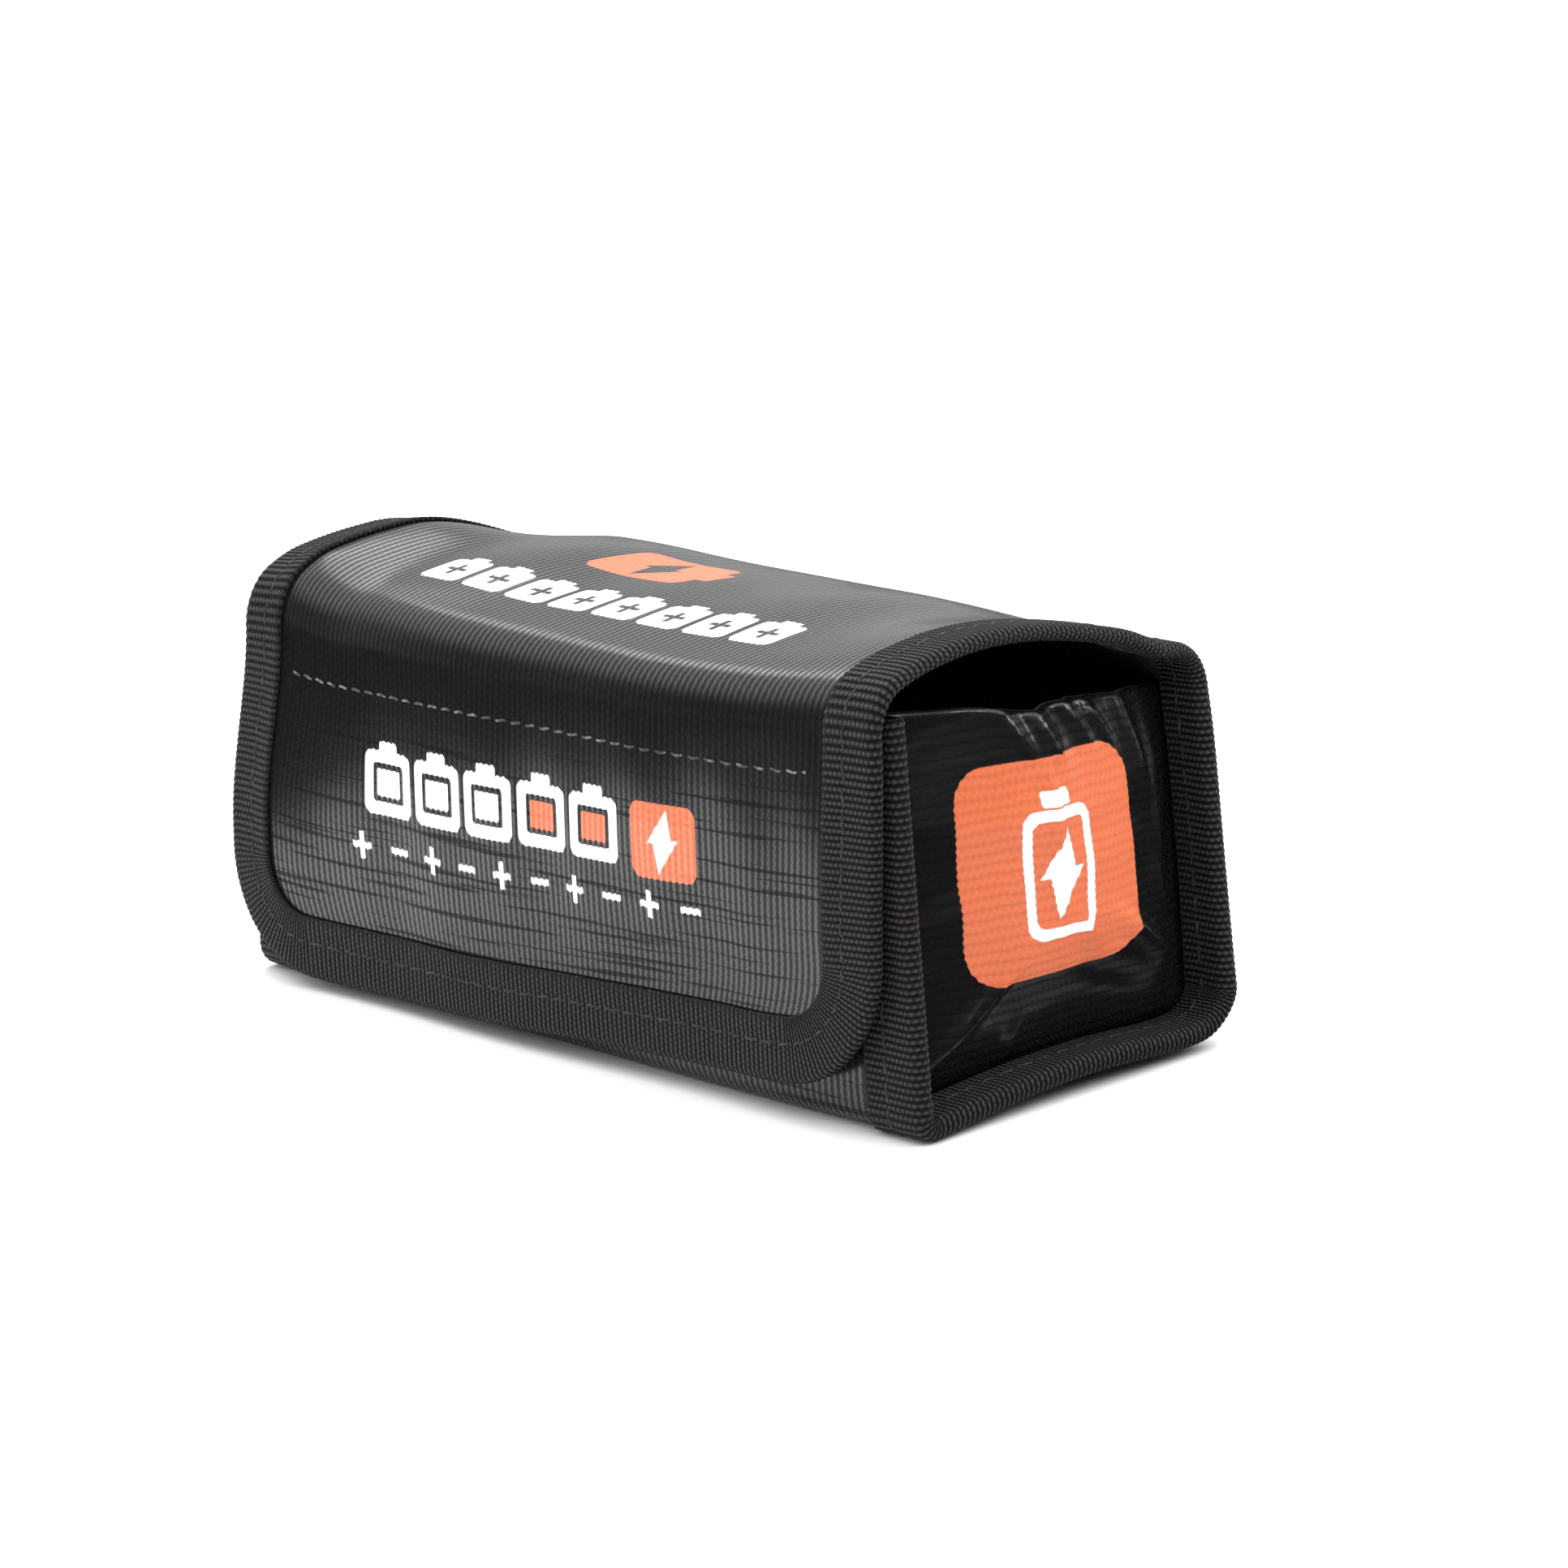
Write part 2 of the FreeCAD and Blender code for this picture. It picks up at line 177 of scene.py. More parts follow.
@dataclass
class Shell:
    """The long strip of cloth that makes the front, bottom, back, lid and flap.

    A place on it has an x along the bag, a distance s from the front mouth round the bag, and a
    depth below the outer face. The body is its widest part, where x reaches half_length.
    """

    half_length: float = -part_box("front_left_tape")[0].x / MM
    lid_half: float = -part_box("lid_left_tape")[0].x / MM
    front_y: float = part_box("front_panel_outer")[0].y / MM
    back_y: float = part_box("back_panel_outer")[1].y / MM
    flap_y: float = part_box("flap_outer")[0].y / MM
    mouth_z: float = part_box("front_panel_outer")[1].z / MM
    flap_edge_z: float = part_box("flap_tape")[0].z / MM
    tape: float = 0.8
    edge_inset: float = 0.9
    flap_inset: float = 1.0
    corner: float = 20.0
    front_foot: float = 3.8
    rear_foot: float = 7.5
    rear_radius: float = 10.5
    front_radius: float = 6.5
    crown_angle: float = 13.0
    flap_top: float = 61.5
    line: Line = field(init=False)

    def __post_init__(self) -> None:
        """Lay the end view's line out and keep where each wall begins."""
        fold = 90.0 - self.crown_angle
        sine = math.sin(math.radians(self.crown_angle))
        cosine = math.cos(math.radians(self.crown_angle))
        radii = self.rear_radius + self.front_radius
        crown = (self.back_y - self.flap_y - radii * (1.0 - sine)) / (2.0 * sine)
        self.back_top = self.flap_top - (self.rear_radius - self.front_radius) * cosine
        self.line = Line((self.front_y, self.mouth_z), 270.0, [
            Run(self.mouth_z - self.tape - self.front_foot), Bend(self.front_foot, 90.0),
            Run(self.back_y - self.front_y - self.front_foot - self.rear_foot), Bend(self.rear_foot, 90.0),
            Run(self.back_top - self.tape - self.rear_foot), Bend(self.rear_radius, fold),
            Bend(crown, 2.0 * self.crown_angle), Bend(self.front_radius, fold),
            Run(self.flap_top - self.flap_edge_z)])
        (_, self.foot_front, self.bottom_front, self.bottom_back, self.foot_back,
         self.rear_fold, self.lid_back, self.lid_front, self.flap_start, self.flap_end) = self.line.stops

    def cut(self) -> float:
        """The place of the seam between the back's and the lid's pieces, on the lid."""
        return self.lid_back + 2.0

    def cloth_half(self) -> float:
        """Half the cloth's own length, whose raw edges lie inside the side tapes."""
        return self.half_length - self.edge_inset

    def cloth_end(self) -> float:
        """Where the flap's cloth ends, inside the tape round it."""
        return self.flap_end - self.flap_inset

    def on_lid(self, y: float) -> float:
        """The s of a place on the lid from its y."""
        leg = self.line.legs[6]
        centre = leg.across - leg.radius * math.sin(leg.turn)
        heading = math.asin((centre - y) / leg.radius) + math.pi
        return leg.along + leg.radius * (heading - leg.turn % (2.0 * math.pi))

    def on_flap(self, z: float) -> float:
        """The s of a place on the flap from its height."""
        return self.flap_start + self.flap_top - z

    def swell(self, x: Field, s: Field) -> Field:
        """How far the slack cloth stands out from the plain line, in millimetres."""
        share = x / self.half_length
        across = 1.0 - share ** 2
        sag = 0.7 * (1.0 - ease(np.abs(x), 56.0, 69.0))
        sag *= ease(s, self.bottom_front - 3.0, self.bottom_front + 5.0)
        sag *= ease(s, self.bottom_back + 3.0, self.bottom_back - 5.0)
        wall = np.clip((s - self.foot_back) / (self.rear_fold - self.foot_back), 0.0, 1.0)
        back = 1.5 * np.sin(math.pi * wall) * across + 0.35 * np.sin(math.pi * wall) * np.sin(x / 8.3 + 0.4)
        belly = 1.1 * (1.0 - share ** 4) * hump(s, self.foot_front - 2.0, 9.0)
        lid = np.clip((s - self.lid_back) / (self.lid_front - self.lid_back), 0.0, 1.0)
        crown = np.sin(math.pi * lid) * (0.35 * np.sin(x / 9.7 + 0.8 + 0.02 * s)
                                         + 0.2 * np.sin(x / 4.9 + 2.0))
        hang = np.clip((s - self.flap_start) / (self.flap_end - self.flap_start), 0.0, 1.0)
        flap = np.sin(math.pi * hang ** 0.8) * (0.9 * across + 0.32 * np.sin(x / 6.4 + 1.3 + 0.03 * s)
                                                + 0.16 * np.sin(x / 3.1 + 0.4 - 0.05 * s))
        flap += (0.5 * ease(hang, 0.3, 1.0) * np.sin(x / 13.0 + 2.2)
                 + 0.9 * ease(hang, 0.1, 0.7) * ease(x, -35.0, -75.0))
        peak = self.lid_front + 6.5
        dome = 1.6 * hump(x, -26.0, 24.0) + 1.9 * hump(x, 26.0, 34.0)
        dome = dome * hump(s, peak, np.where(s < peak, 8.0, 26.0))
        dome = dome * ease(s, self.flap_end, self.flap_end - 20.0)
        return sag + back + belly + crown + flap + dome

    def lift(self, x: Field, s: Field) -> Field:
        """How far a place stands above the plain line: a skewed lid, arched ends and a slack flap."""
        on_lid = (ease(s, self.rear_fold - 5.0, self.lid_back + 8.0)
                  * ease(s, self.flap_start + 9.0, self.lid_front - 7.0))
        left = 7.4 * ease(s, self.lid_back, self.lid_back + 40.0) - 5.0
        right = (4.3 * ease(s, self.lid_back + 2.0, self.lid_front - 12.0) - 0.8
                 - 2.2 * hump(s, self.lid_back - 1.0, 8.0))
        lid = on_lid * (2.1 - 0.03 * x + 0.5 * hump(x, -45.0, 16.0) + left * ease(x, -49.0, -69.0)
                        - 1.8 * ease(x, -65.0, -self.half_length)
                        + right * ease(x, 20.0, self.half_length))
        bottom = np.clip((s - self.foot_front) / (self.foot_back - self.foot_front), 0.0, 1.0)
        arch = 2.5 * np.sin(math.pi * bottom) ** 1.4 + 1.9 * hump(bottom, 0.93, 0.09)
        arch = arch * ease(np.abs(x), 50.0, 78.0)
        mouth = 1.2 * np.abs(x / self.half_length) ** 4 * ease(s, 14.0, 0.0)
        slack = 1.0 - (x / self.half_length) ** 2
        flap = 0.03 * x - 0.6 - 0.6 * ease(x, 20.0, -20.0) - 0.8 * slack
        flap = flap * ease(s, self.flap_start, self.flap_end)
        return lid + arch + mouth + flap

    def place(self, x: Field, s: Field, depth: Field) -> Field:
        """Find points of the strip.

        Args:
            x: places along the bag before its upper parts draw in.
            s: distances round the bag from the front mouth.
            depth: depths below the outer face; a negative one is outside.

        Returns:
            The points in metres, one row each.
        """
        y, z, turn = self.line.locate(s)
        inward = depth - self.swell(x, s)
        y = y - inward * np.sin(turn)
        z = z + inward * np.cos(turn) + self.lift(x, s)
        raised = np.interp(s, [0.0, self.foot_front, self.foot_back, self.rear_fold], [1.0, 0.0, 0.0, 1.0])
        narrow = 1.0 - (1.0 - self.lid_half / self.half_length) * raised
        shift = -(1.4 + 3.6 * ease(x, -20.0, -70.0)) * ease(s, self.flap_start, self.flap_end - 24.0)
        shift += 1.9 * ease(x, -60.0, -76.0) * hump(s, self.lid_front + 3.0, 12.0)
        shift -= 1.3 * ease(x, 58.0, 78.0) * hump(s, self.lid_back - 5.0, 11.0)
        ends = (0.018 * ease(x, -40.0, -79.0)
                + 0.012 * ease(x, 40.0, 79.0) * ease(s, self.bottom_front, self.bottom_back))
        flare = 1.0 + (0.012 + ends) * (1.0 - raised)
        return np.stack([x * narrow * flare + shift, y, z], axis=-1) * MM


# Meshes

def lattice(columns: Field, rows: Field) -> bmesh.types.BMesh:
    """Start a grid whose vertices carry their column and row values.

    Args:
        columns: the values along the grid's first direction.
        rows: the values along its second direction.

    Returns:
        An open grid with the layer "strip" holding (column, row, 0) on each vertex.
    """
    bm = bmesh.new()
    strip = bm.verts.layers.float_vector.new("strip")
    bmesh.ops.create_grid(bm, x_segments=len(columns) - 1, y_segments=len(rows) - 1, size=0.5)
    for vert in bm.verts:
        column = columns[int(round((vert.co.x + 0.5) * (len(columns) - 1)))]
        row = rows[int(round((vert.co.y + 0.5) * (len(rows) - 1)))]
        vert[strip] = (column, row, 0.0)
    return bm


def strip_rows(bm: bmesh.types.BMesh) -> Field:
    """The values of a mesh's layer "strip", one row for each vertex."""
    strip = bm.verts.layers.float_vector["strip"]
    return np.array([vert[strip][:] for vert in bm.verts], float)


def as_object(name: str, bm: bmesh.types.BMesh, place: Callable[[Field], Field] | None = None,
              weld: float = 0.0) -> bpy.types.Object:
    """Make an object of a bmesh and put its vertices in place.

    Args:
        name: the piece's name.
        bm: the mesh, which is freed.
        place: turns the rows of the layer "strip" into points in metres.
        weld: distance under which vertices are joined, after they are placed.

    Returns:
        The new object, at the origin.
    """
    if place is not None:
        for vert, point in zip(bm.verts, place(strip_rows(bm))):
            vert.co = point
    if weld:
        bmesh.ops.remove_doubles(bm, verts=bm.verts, dist=weld)
        rims = [edge for edge in bm.edges if edge.is_boundary]
        if rims:
            bmesh.ops.holes_fill(bm, edges=rims, sides=0)
    bmesh.ops.recalc_face_normals(bm, faces=bm.faces)
    for face in bm.faces:
        face.smooth = True
    mesh = bpy.data.meshes.new(name)
    bm.to_mesh(mesh)
    bm.free()
    piece = bpy.data.objects.new(name, mesh)
    bpy.context.scene.collection.objects.link(piece)
    return piece


def thicken(bm: bmesh.types.BMesh, near: float, far: float) -> None:
    """Turn an open grid into a closed slab between two depths, kept in its "strip" layer."""
    strip = bm.verts.layers.float_vector["strip"]
    for vert in bm.verts:
        vert[strip] = (vert[strip][0], vert[strip][1], near)
    extruded = bmesh.ops.extrude_face_region(bm, geom=bm.faces[:])
    for item in extruded["geom"]:
        if isinstance(item, bmesh.types.BMVert):
            item[strip] = (item[strip][0], item[strip][1], far)


# Materials

class Wire:
    """A shader socket whose arithmetic adds Math nodes."""

    def __init__(self, tree: bpy.types.NodeTree, socket: bpy.types.NodeSocket) -> None:
        """Hold a socket and its tree."""
        self.tree = tree
        self.socket = socket

    def maths(self, operation: str, *others: "Wire | float", first: "float | None" = None) -> "Wire":
        """Add one Math node.

        Args:
            operation: the node's operation.
            others: the values after this one.
            first: a number that comes before this one instead.

        Returns:
            The node's result.
        """
        terms: list[Wire | float] = [self, *others] if first is None else [first, self]
        node = add_node(self.tree, "ShaderNodeMath", {"operation": operation}, dict(enumerate(terms)))
        return Wire(self.tree, node.outputs[0])

    def __add__(self, other: "Wire | float") -> "Wire":
        """Add."""
        return self.maths("ADD", other)

    __radd__ = __add__

    def __sub__(self, other: "Wire | float") -> "Wire":
        """Subtract."""
        return self.maths("SUBTRACT", other)

    def __rsub__(self, other: float) -> "Wire":
        """Subtract from a number."""
        return self.maths("SUBTRACT", first=other)

    def __mul__(self, other: "Wire | float") -> "Wire":
        """Multiply."""
        return self.maths("MULTIPLY", other)

    __rmul__ = __mul__

    def __truediv__(self, other: "Wire | float") -> "Wire":
        """Divide."""
        return self.maths("DIVIDE", other)

    def __pow__(self, power: float) -> "Wire":
        """Raise to a power."""
        return self.maths("POWER", power)

    def __abs__(self) -> "Wire":
        """Drop the sign."""
        return self.maths("ABSOLUTE")

    def floor(self) -> "Wire":
        """Round down."""
        return self.maths("FLOOR")

    def cosine(self) -> "Wire":
        """The cosine."""
        return self.maths("COSINE")

    def least(self, other: "Wire | float") -> "Wire":
        """The smaller of two."""
        return self.maths("MINIMUM", other)

    def most(self, other: "Wire | float") -> "Wire":
        """The larger of two."""
        return self.maths("MAXIMUM", other)

    def fade(self, low: float, high: float) -> "Wire":
        """Go from 0 at low to 1 at high, which may be the smaller one."""
        node = add_node(self.tree, "ShaderNodeMapRange", {"clamp": True, "interpolation_type": "SMOOTHSTEP"},
                        {"Value": self, "From Min": low, "From Max": high})
        return Wire(self.tree, node.outputs["Result"])

    def wave(self, pitch: float, shift: "Wire | float" = 0.0) -> "Wire":
        """A wave between 0 and 1 with the given pitch and a shift in turns."""
        return ((self / pitch + shift) * (2.0 * math.pi)).cosine() * 0.5 + 0.5


def add_node(tree: bpy.types.NodeTree, kind: str, settings: dict | None = None,
             inputs: dict | None = None) -> bpy.types.Node:
    """Add any node.

    Args:
        tree: the tree it goes in.
        kind: the node's type.
        settings: its properties, set first.
        inputs: values or links of its sockets, by name or number.

    Returns:
        The node.
    """
    node = tree.nodes.new(kind)
    for name, value in (settings or {}).items():
        setattr(node, name, value)
    for name, value in (inputs or {}).items():
        socket = node.inputs[name]
        if isinstance(value, Wire):
            tree.links.new(value.socket, socket)
        elif isinstance(value, bpy.types.NodeSocket):
            tree.links.new(value, socket)
        else:
            socket.default_value = value
    return node


class Palette(Enum):
    """Colours of the finishes, linear."""

    CLOTH = (0.0065, 0.0067, 0.0074, 1.0)
    WHITE_INK = (0.86, 0.86, 0.85, 1.0)
    ORANGE_INK = (0.78, 0.18, 0.074, 1.0)
    LINING = (0.045, 0.046, 0.050, 1.0)
    TAPE = (0.0028, 0.0025, 0.0022, 1.0)
    # painted highlight: the lighter colour given to the webbing's bead tops
    TAPE_PAINTED_HIGHLIGHT = (0.048, 0.0435, 0.039, 1.0)
    HOOK = (0.014, 0.014, 0.015, 1.0)
    LOOP = (0.020, 0.019, 0.019, 1.0)
    THREAD = (0.010, 0.0095, 0.009, 1.0)
    LINT = (0.30, 0.30, 0.30, 1.0)
    FLOOR = (0.92, 0.92, 0.92, 1.0)


class Recipe:
    """A material in the making: its tree, its pattern coordinates in millimetres and its shader."""

    SHEEN_ROUGHNESS = 0.4
    COAT_ROUGHNESS = 0.22
    COAT_IOR = 1.8

    def __init__(self, name: str, roughness: float, specular: float = 0.5, sheen: float = 0.0) -> None:
        """Start a material with a plain shader.

        Args:
            name: the material's name.
            roughness: how rough it is where nothing else says so.
            specular: the strength of its gloss.
            sheen: the strength of its fuzz.
        """
        self.material = bpy.data.materials.new(name)
        self.material.use_nodes = True
        self.tree = self.material.node_tree
        self.shader = self.tree.nodes["Principled BSDF"]
        self.shader.inputs["Roughness"].default_value = roughness
        self.shader.inputs["Specular IOR Level"].default_value = specular
        if sheen:
            self.shader.inputs["Sheen Weight"].default_value = sheen
            self.shader.inputs["Sheen Roughness"].default_value = self.SHEEN_ROUGHNESS
        place = self.node("ShaderNodeAttribute", {"attribute_name": "strip"}).outputs["Vector"]
        parts = self.node("ShaderNodeSeparateXYZ", {}, {0: place})
        self.along = Wire(self.tree, parts.outputs[0])
        self.round = Wire(self.tree, parts.outputs[1])
        self.object_point = self.node("ShaderNodeTexCoord").outputs["Object"]

    def node(self, kind: str, settings: dict | None = None, inputs: dict | None = None) -> bpy.types.Node:
        """Add any node to this material."""
        return add_node(self.tree, kind, settings, inputs)

    def point(self, first: Wire | float, second: Wire | float) -> Wire:
        """Join two numbers to a vector."""
        return Wire(self.tree, self.node("ShaderNodeCombineXYZ", {}, {0: first, 1: second}).outputs[0])

    def noise(self, where: Wire | bpy.types.NodeSocket, scale: float, detail: float = 2.0) -> Wire:
        """Noise between 0 and 1 at a vector."""
        made = self.node("ShaderNodeTexNoise", {}, {"Vector": where, "Scale": scale, "Detail": detail})
        return Wire(self.tree, made.outputs[0])

    def blend(self, share: Wire, low: Wire | tuple, high: Wire | tuple) -> Wire:
        """Mix two colours."""
        mixed = self.node("ShaderNodeMix", {"data_type": "RGBA"}, {0: share, 6: low, 7: high})
        return Wire(self.tree, mixed.outputs[2])

    def specks(self, scale: float, size: float) -> Wire:
        """Sparse specks of lint."""
        cells = self.node("ShaderNodeTexVoronoi", {}, {"Vector": self.object_point, "Scale": scale})
        chosen = self.node("ShaderNodeSeparateColor", {}, {0: cells.outputs["Color"]})
        near = Wire(self.tree, cells.outputs["Distance"]).fade(size, 0.0)
        return near * Wire(self.tree, chosen.outputs[0]).fade(0.93, 0.95)

    def finish(self, colour: Wire | tuple, height: Wire | None = None, depth: float = 0.0,
               roughness: Wire | None = None, coat: Wire | None = None) -> bpy.types.Material:
        """Connect the results to the shader.

        Args:
            colour: the base colour.
            height: the relief between 0 and 1.
            depth: the relief's depth in millimetres.
            roughness: the roughness where it varies.
            coat: the weight of a clear coat where there is one.

        Returns:
            The finished material.
        """
        if isinstance(colour, Wire):
            self.tree.links.new(colour.socket, self.shader.inputs["Base Color"])
        else:
            self.shader.inputs["Base Color"].default_value = colour
        if height is not None:
            relief = {"Height": height, "Distance": depth * MM, "Strength": 1.0}
            bump = self.node("ShaderNodeBump", {}, relief)
            self.tree.links.new(bump.outputs[0], self.shader.inputs["Normal"])
        if roughness is not None:
            self.tree.links.new(roughness.socket, self.shader.inputs["Roughness"])
        if coat is not None:
            self.tree.links.new(coat.socket, self.shader.inputs["Coat Weight"])
            self.shader.inputs["Coat Roughness"].default_value = self.COAT_ROUGHNESS
            self.shader.inputs["Coat IOR"].default_value = self.COAT_IOR
        return self.material


class Inks:
    """Generic pictograms of the screen print, as shader masks."""

    EDGE = 0.12

    def __init__(self, x: Wire, y: Wire) -> None:
        """Take the print's coordinates in millimetres, with y upwards on the print."""
        self.x = x
        self.y = y

    def inside(self, distance: Wire) -> Wire:
        """1 inside a shape, 0 outside, with a slightly soft edge."""
        return distance.fade(self.EDGE, -self.EDGE)

    def box(self, x: Wire, y: Wire, half_x: float, half_y: float, radius: float) -> Wire:
        """The signed distance to a rounded rectangle round the origin."""
        over_x = abs(x) - (half_x - radius)
        over_y = abs(y) - (half_y - radius)
        out_x, out_y = over_x.most(0.0), over_y.most(0.0)
        corner = (out_x * out_x + out_y * out_y).maths("SQRT")
        return corner + over_x.most(over_y).least(0.0) - radius

    def bolt(self, x: Wire, y: Wire, height: float) -> Wire:
        """The signed distance to a lightning bolt round the origin."""
        scale = height / 2.0
        halves = []
        for sign in (1.0, -1.0):
            u, v = x * (sign / scale), y * (sign / scale)
            back = (u * -1.08 - v * -0.80 - 0.68) / 1.34
            front = (u * 1.10 + v * 0.20 - 0.47) / 1.12
            halves.append(back.most(front).most((v + 0.10) * -1.0))
        return halves[0].least(halves[1]) * scale

    def row(self, x: Wire, count: int, pitch: float) -> tuple[Wire, Wire]:
        """Repeat along x.

        Returns:
            The x inside one cell and the cell's number, from 0, clamped to the row.
        """
        number = (x / pitch + count / 2.0).floor().most(0.0).least(count - 1.0)
        return x - (number - (count - 1) / 2.0) * pitch, number


@dataclass(frozen=True)
class Weave:
    """The look of one coated cloth: rib pitches in millimetres and strengths."""

    rib_pitch: float = 1.35
    cross_pitch: float = 1.30
    rib_power: float = 1.6
    cross: float = 0.35
    streaks: float = 1.0
    depth: float = 0.15
    roughness: float = 0.38
    coat: float = 0.8


class Print(Enum):
    """Where a coated cloth is printed."""

    NONE = "none"
    LID_AND_FLAP = "lid_and_flap"
    GUSSET = "gusset"


class CoatedCloth:
    """Black glass cloth with a satin coating over its ribs, and its screen print."""

    BASE_SPECULAR = 0.04
    STREAKED = (0.0055, 0.0056, 0.006, 1.0)

    def __init__(self, shell: Shell) -> None:
        """Keep the strip, which gives the print its places."""
        self.shell = shell

    def marks(self, recipe: Recipe, kind: Print) -> tuple[Wire, Wire] | None:
        """The white and orange masks of a print.

        Args:
            recipe: the material.
            kind: which print.

        Returns:
            The two masks, or None where there is no print.
        """
        if kind is Print.NONE:
            return None
        edge = (recipe.along.wave(1.35) - 0.5) * 0.16 + (recipe.round.wave(1.30) - 0.5) * 0.14
        if kind is Print.GUSSET:
            return self.gusset_marks(Inks(recipe.along + edge, recipe.round))
        lid = Inks(recipe.along, recipe.round * -1.0 + edge)
        white, orange = self.flap_marks(lid)
        more_white, more_orange = self.lid_marks(lid)
        return white.most(more_white), orange.most(more_orange)

    def flap_marks(self, ink: Inks) -> tuple[Wire, Wire]:
        """A row of battery cells, a badge with a bolt, and a row of level marks on the flap."""
        shell = self.shell
        y = ink.y + shell.on_flap(42.3)
        x = ink.x + 10.5
        cell_x, number = ink.row(x, 5, 13.4)
        body = ink.box(cell_x, y + 0.6, 6.0, 5.3, 1.6)
        nub = ink.box(cell_x, y - 5.0, 2.4, 1.2, 0.5)
        window = ink.box(cell_x, y + 0.6, 3.9, 3.2, 0.7)
        cell = body.least(nub).most(window * -1.0)
        level = ink.box(cell_x, y + 0.6, 3.0, 2.3, 0.4)
        charged = number.fade(2.4, 2.6)
        in_row = (abs(x) - 33.6).fade(0.1, -0.1)
        white = ink.inside(cell).most(ink.inside(level) * (1.0 - charged)) * in_row
        orange = ink.inside(level) * charged * in_row
        badge_x, badge_y = ink.x - 33.0, y + 0.9
        badge = ink.inside(ink.box(badge_x, badge_y, 7.2, 6.2, 2.0))
        bolt = ink.inside(ink.bolt(badge_x, badge_y, 9.4))
        mark_x, number = ink.row(ink.x + 3.0, 10, 9.2)
        mark_y = ink.y + shell.on_flap(30.8)
        every_other = (number * 0.5).maths("FRACT").fade(0.2, 0.3)
        upright = ink.box(mark_x, mark_y, 0.55, 2.2, 0.2) + every_other * 9.0
        mark = ink.inside(ink.box(mark_x, mark_y, 2.2, 0.55, 0.2).least(upright))
        marks = mark * (abs(ink.x + 3.0) - 46.0).fade(0.1, -0.1)
        return (white + bolt + marks).least(1.0), (orange + badge * (1.0 - bolt)).least(1.0)

    def lid_marks(self, ink: Inks) -> tuple[Wire, Wire]:
        """A row of white cells and an orange battery with a bolt on the lid."""
        shell = self.shell
        x, y = ink.x + 3.0, ink.y + shell.on_lid(-19.0)
        cell_x, _ = ink.row(x, 8, 11.2)
        body = ink.box(cell_x, y + 0.6, 4.8, 5.0, 1.5)
        nub = ink.box(cell_x, y - 4.9, 2.0, 1.0, 0.4)
        sign = ink.box(cell_x, y + 0.6, 2.4, 0.6, 0.2).least(ink.box(cell_x, y + 0.6, 0.6, 2.4, 0.2))
        cell = body.least(nub).most(sign * -1.0)
        white = ink.inside(cell) * (abs(x) - 44.8).fade(0.1, -0.1)
        x, y = ink.x + 15.0, ink.y + shell.on_lid(4.0)
        battery = ink.box(x, y, 12.0, 8.4, 2.6).least(ink.box(x - 12.9, y, 1.9, 3.6, 0.9))
        return white, ink.inside(battery.most(ink.bolt(x, y, 12.5) * -1.0))

    def gusset_marks(self, ink: Inks) -> tuple[Wire, Wire]:
        """An orange badge with a white battery and bolt on the end gusset."""
        x, y = ink.x - 1.4, ink.y - 36.5
        badge = ink.inside(ink.box(x, y, 18.6, 17.2, 6.5))
        frame_shape = ink.box(x, y + 1.0, 7.2, 10.2, 2.6)
        hollow = ink.box(x, y + 1.0, 5.4, 8.4, 1.4)
        outline = frame_shape.most(hollow * -1.0).least(ink.box(x, y - 10.8, 3.0, 1.3, 0.6))
        white = ink.inside(outline.least(ink.bolt(x, y + 1.0, 12.5)))
        return white, badge * (1.0 - white)

    def build(self, name: str, weave: Weave, kind: Print, turned: bool = False) -> bpy.types.Material:
        """Make the material.

        Args:
            name: its name.
            weave: its ribs.
            kind: its print.
            turned: whether the strong ribs run across the strip instead of along it.

        Returns:
            The material.
        """
        recipe = Recipe(name, weave.roughness, self.BASE_SPECULAR)
        first, second = (recipe.round, recipe.along) if turned else (recipe.along, recipe.round)
        plane = recipe.point(recipe.along, recipe.round)
        wobble = recipe.noise(plane, 0.16, 1.0) - 0.5
        fine = recipe.noise(recipe.point(first * 1.4, second * 0.9), 1.3, 3.0)
        first = first + wobble * (1.1 if turned else 0.35)
        rib = first.wave(weave.rib_pitch) ** weave.rib_power
        parity = (first / weave.rib_pitch).floor() * 0.5
        bead = second.wave(weave.cross_pitch, parity)
        cross = second.wave(weave.cross_pitch * 0.5) ** 2.0
        if turned:
            drawn = recipe.point(recipe.along * 0.05, recipe.round * 0.55 + wobble * 0.8)
        else:
            drawn = recipe.point(recipe.along * 0.022, recipe.round * 0.95)
        streak = recipe.noise(drawn, 1.0).fade(0.54, 0.64) * weave.streaks
        if kind is Print.LID_AND_FLAP:
            streak = streak * recipe.round.fade(self.shell.on_flap(58.0), self.shell.on_flap(50.0))
        height = rib * (0.62 + bead * 0.38) + cross * (weave.cross * 0.3) + bead * (weave.cross * 0.3)
        height = height * (1.0 - streak * 0.55) + fine * 0.16
        roughness = (weave.roughness - 0.06) + fine * 0.14 + streak * 0.10
        masks = self.marks(recipe, kind)
        tone = recipe.blend((streak * 0.6).least(1.0), Palette.CLOTH.value, self.STREAKED)
        if masks is not None:
            white, orange = masks
            worn = 1.0 - (recipe.noise(plane, 2.6, 3.0).fade(0.62, 0.78) * 0.40)
            # painted shade: the orange ink is made darker in the weave's grooves and full orange on the rib
            # tops
            deep = tuple(0.72 * value for value in Palette.ORANGE_INK.value[:3]) + (1.0,)
            ink = recipe.blend(rib * 0.7 + bead * 0.3, deep, Palette.ORANGE_INK.value)
            tone = recipe.blend(orange * worn, tone, ink)
            tone = recipe.blend(white * worn, tone, Palette.WHITE_INK.value)
            inked = (white + orange).least(1.0)
            roughness = roughness + inked * 0.16
            height = height * (1.0 - inked * 0.35) + inked * 0.2
        tone = recipe.blend(recipe.specks(260.0, 0.045), tone, Palette.LINT.value)
        lustre = rib * (0.55 + bead * 0.45)
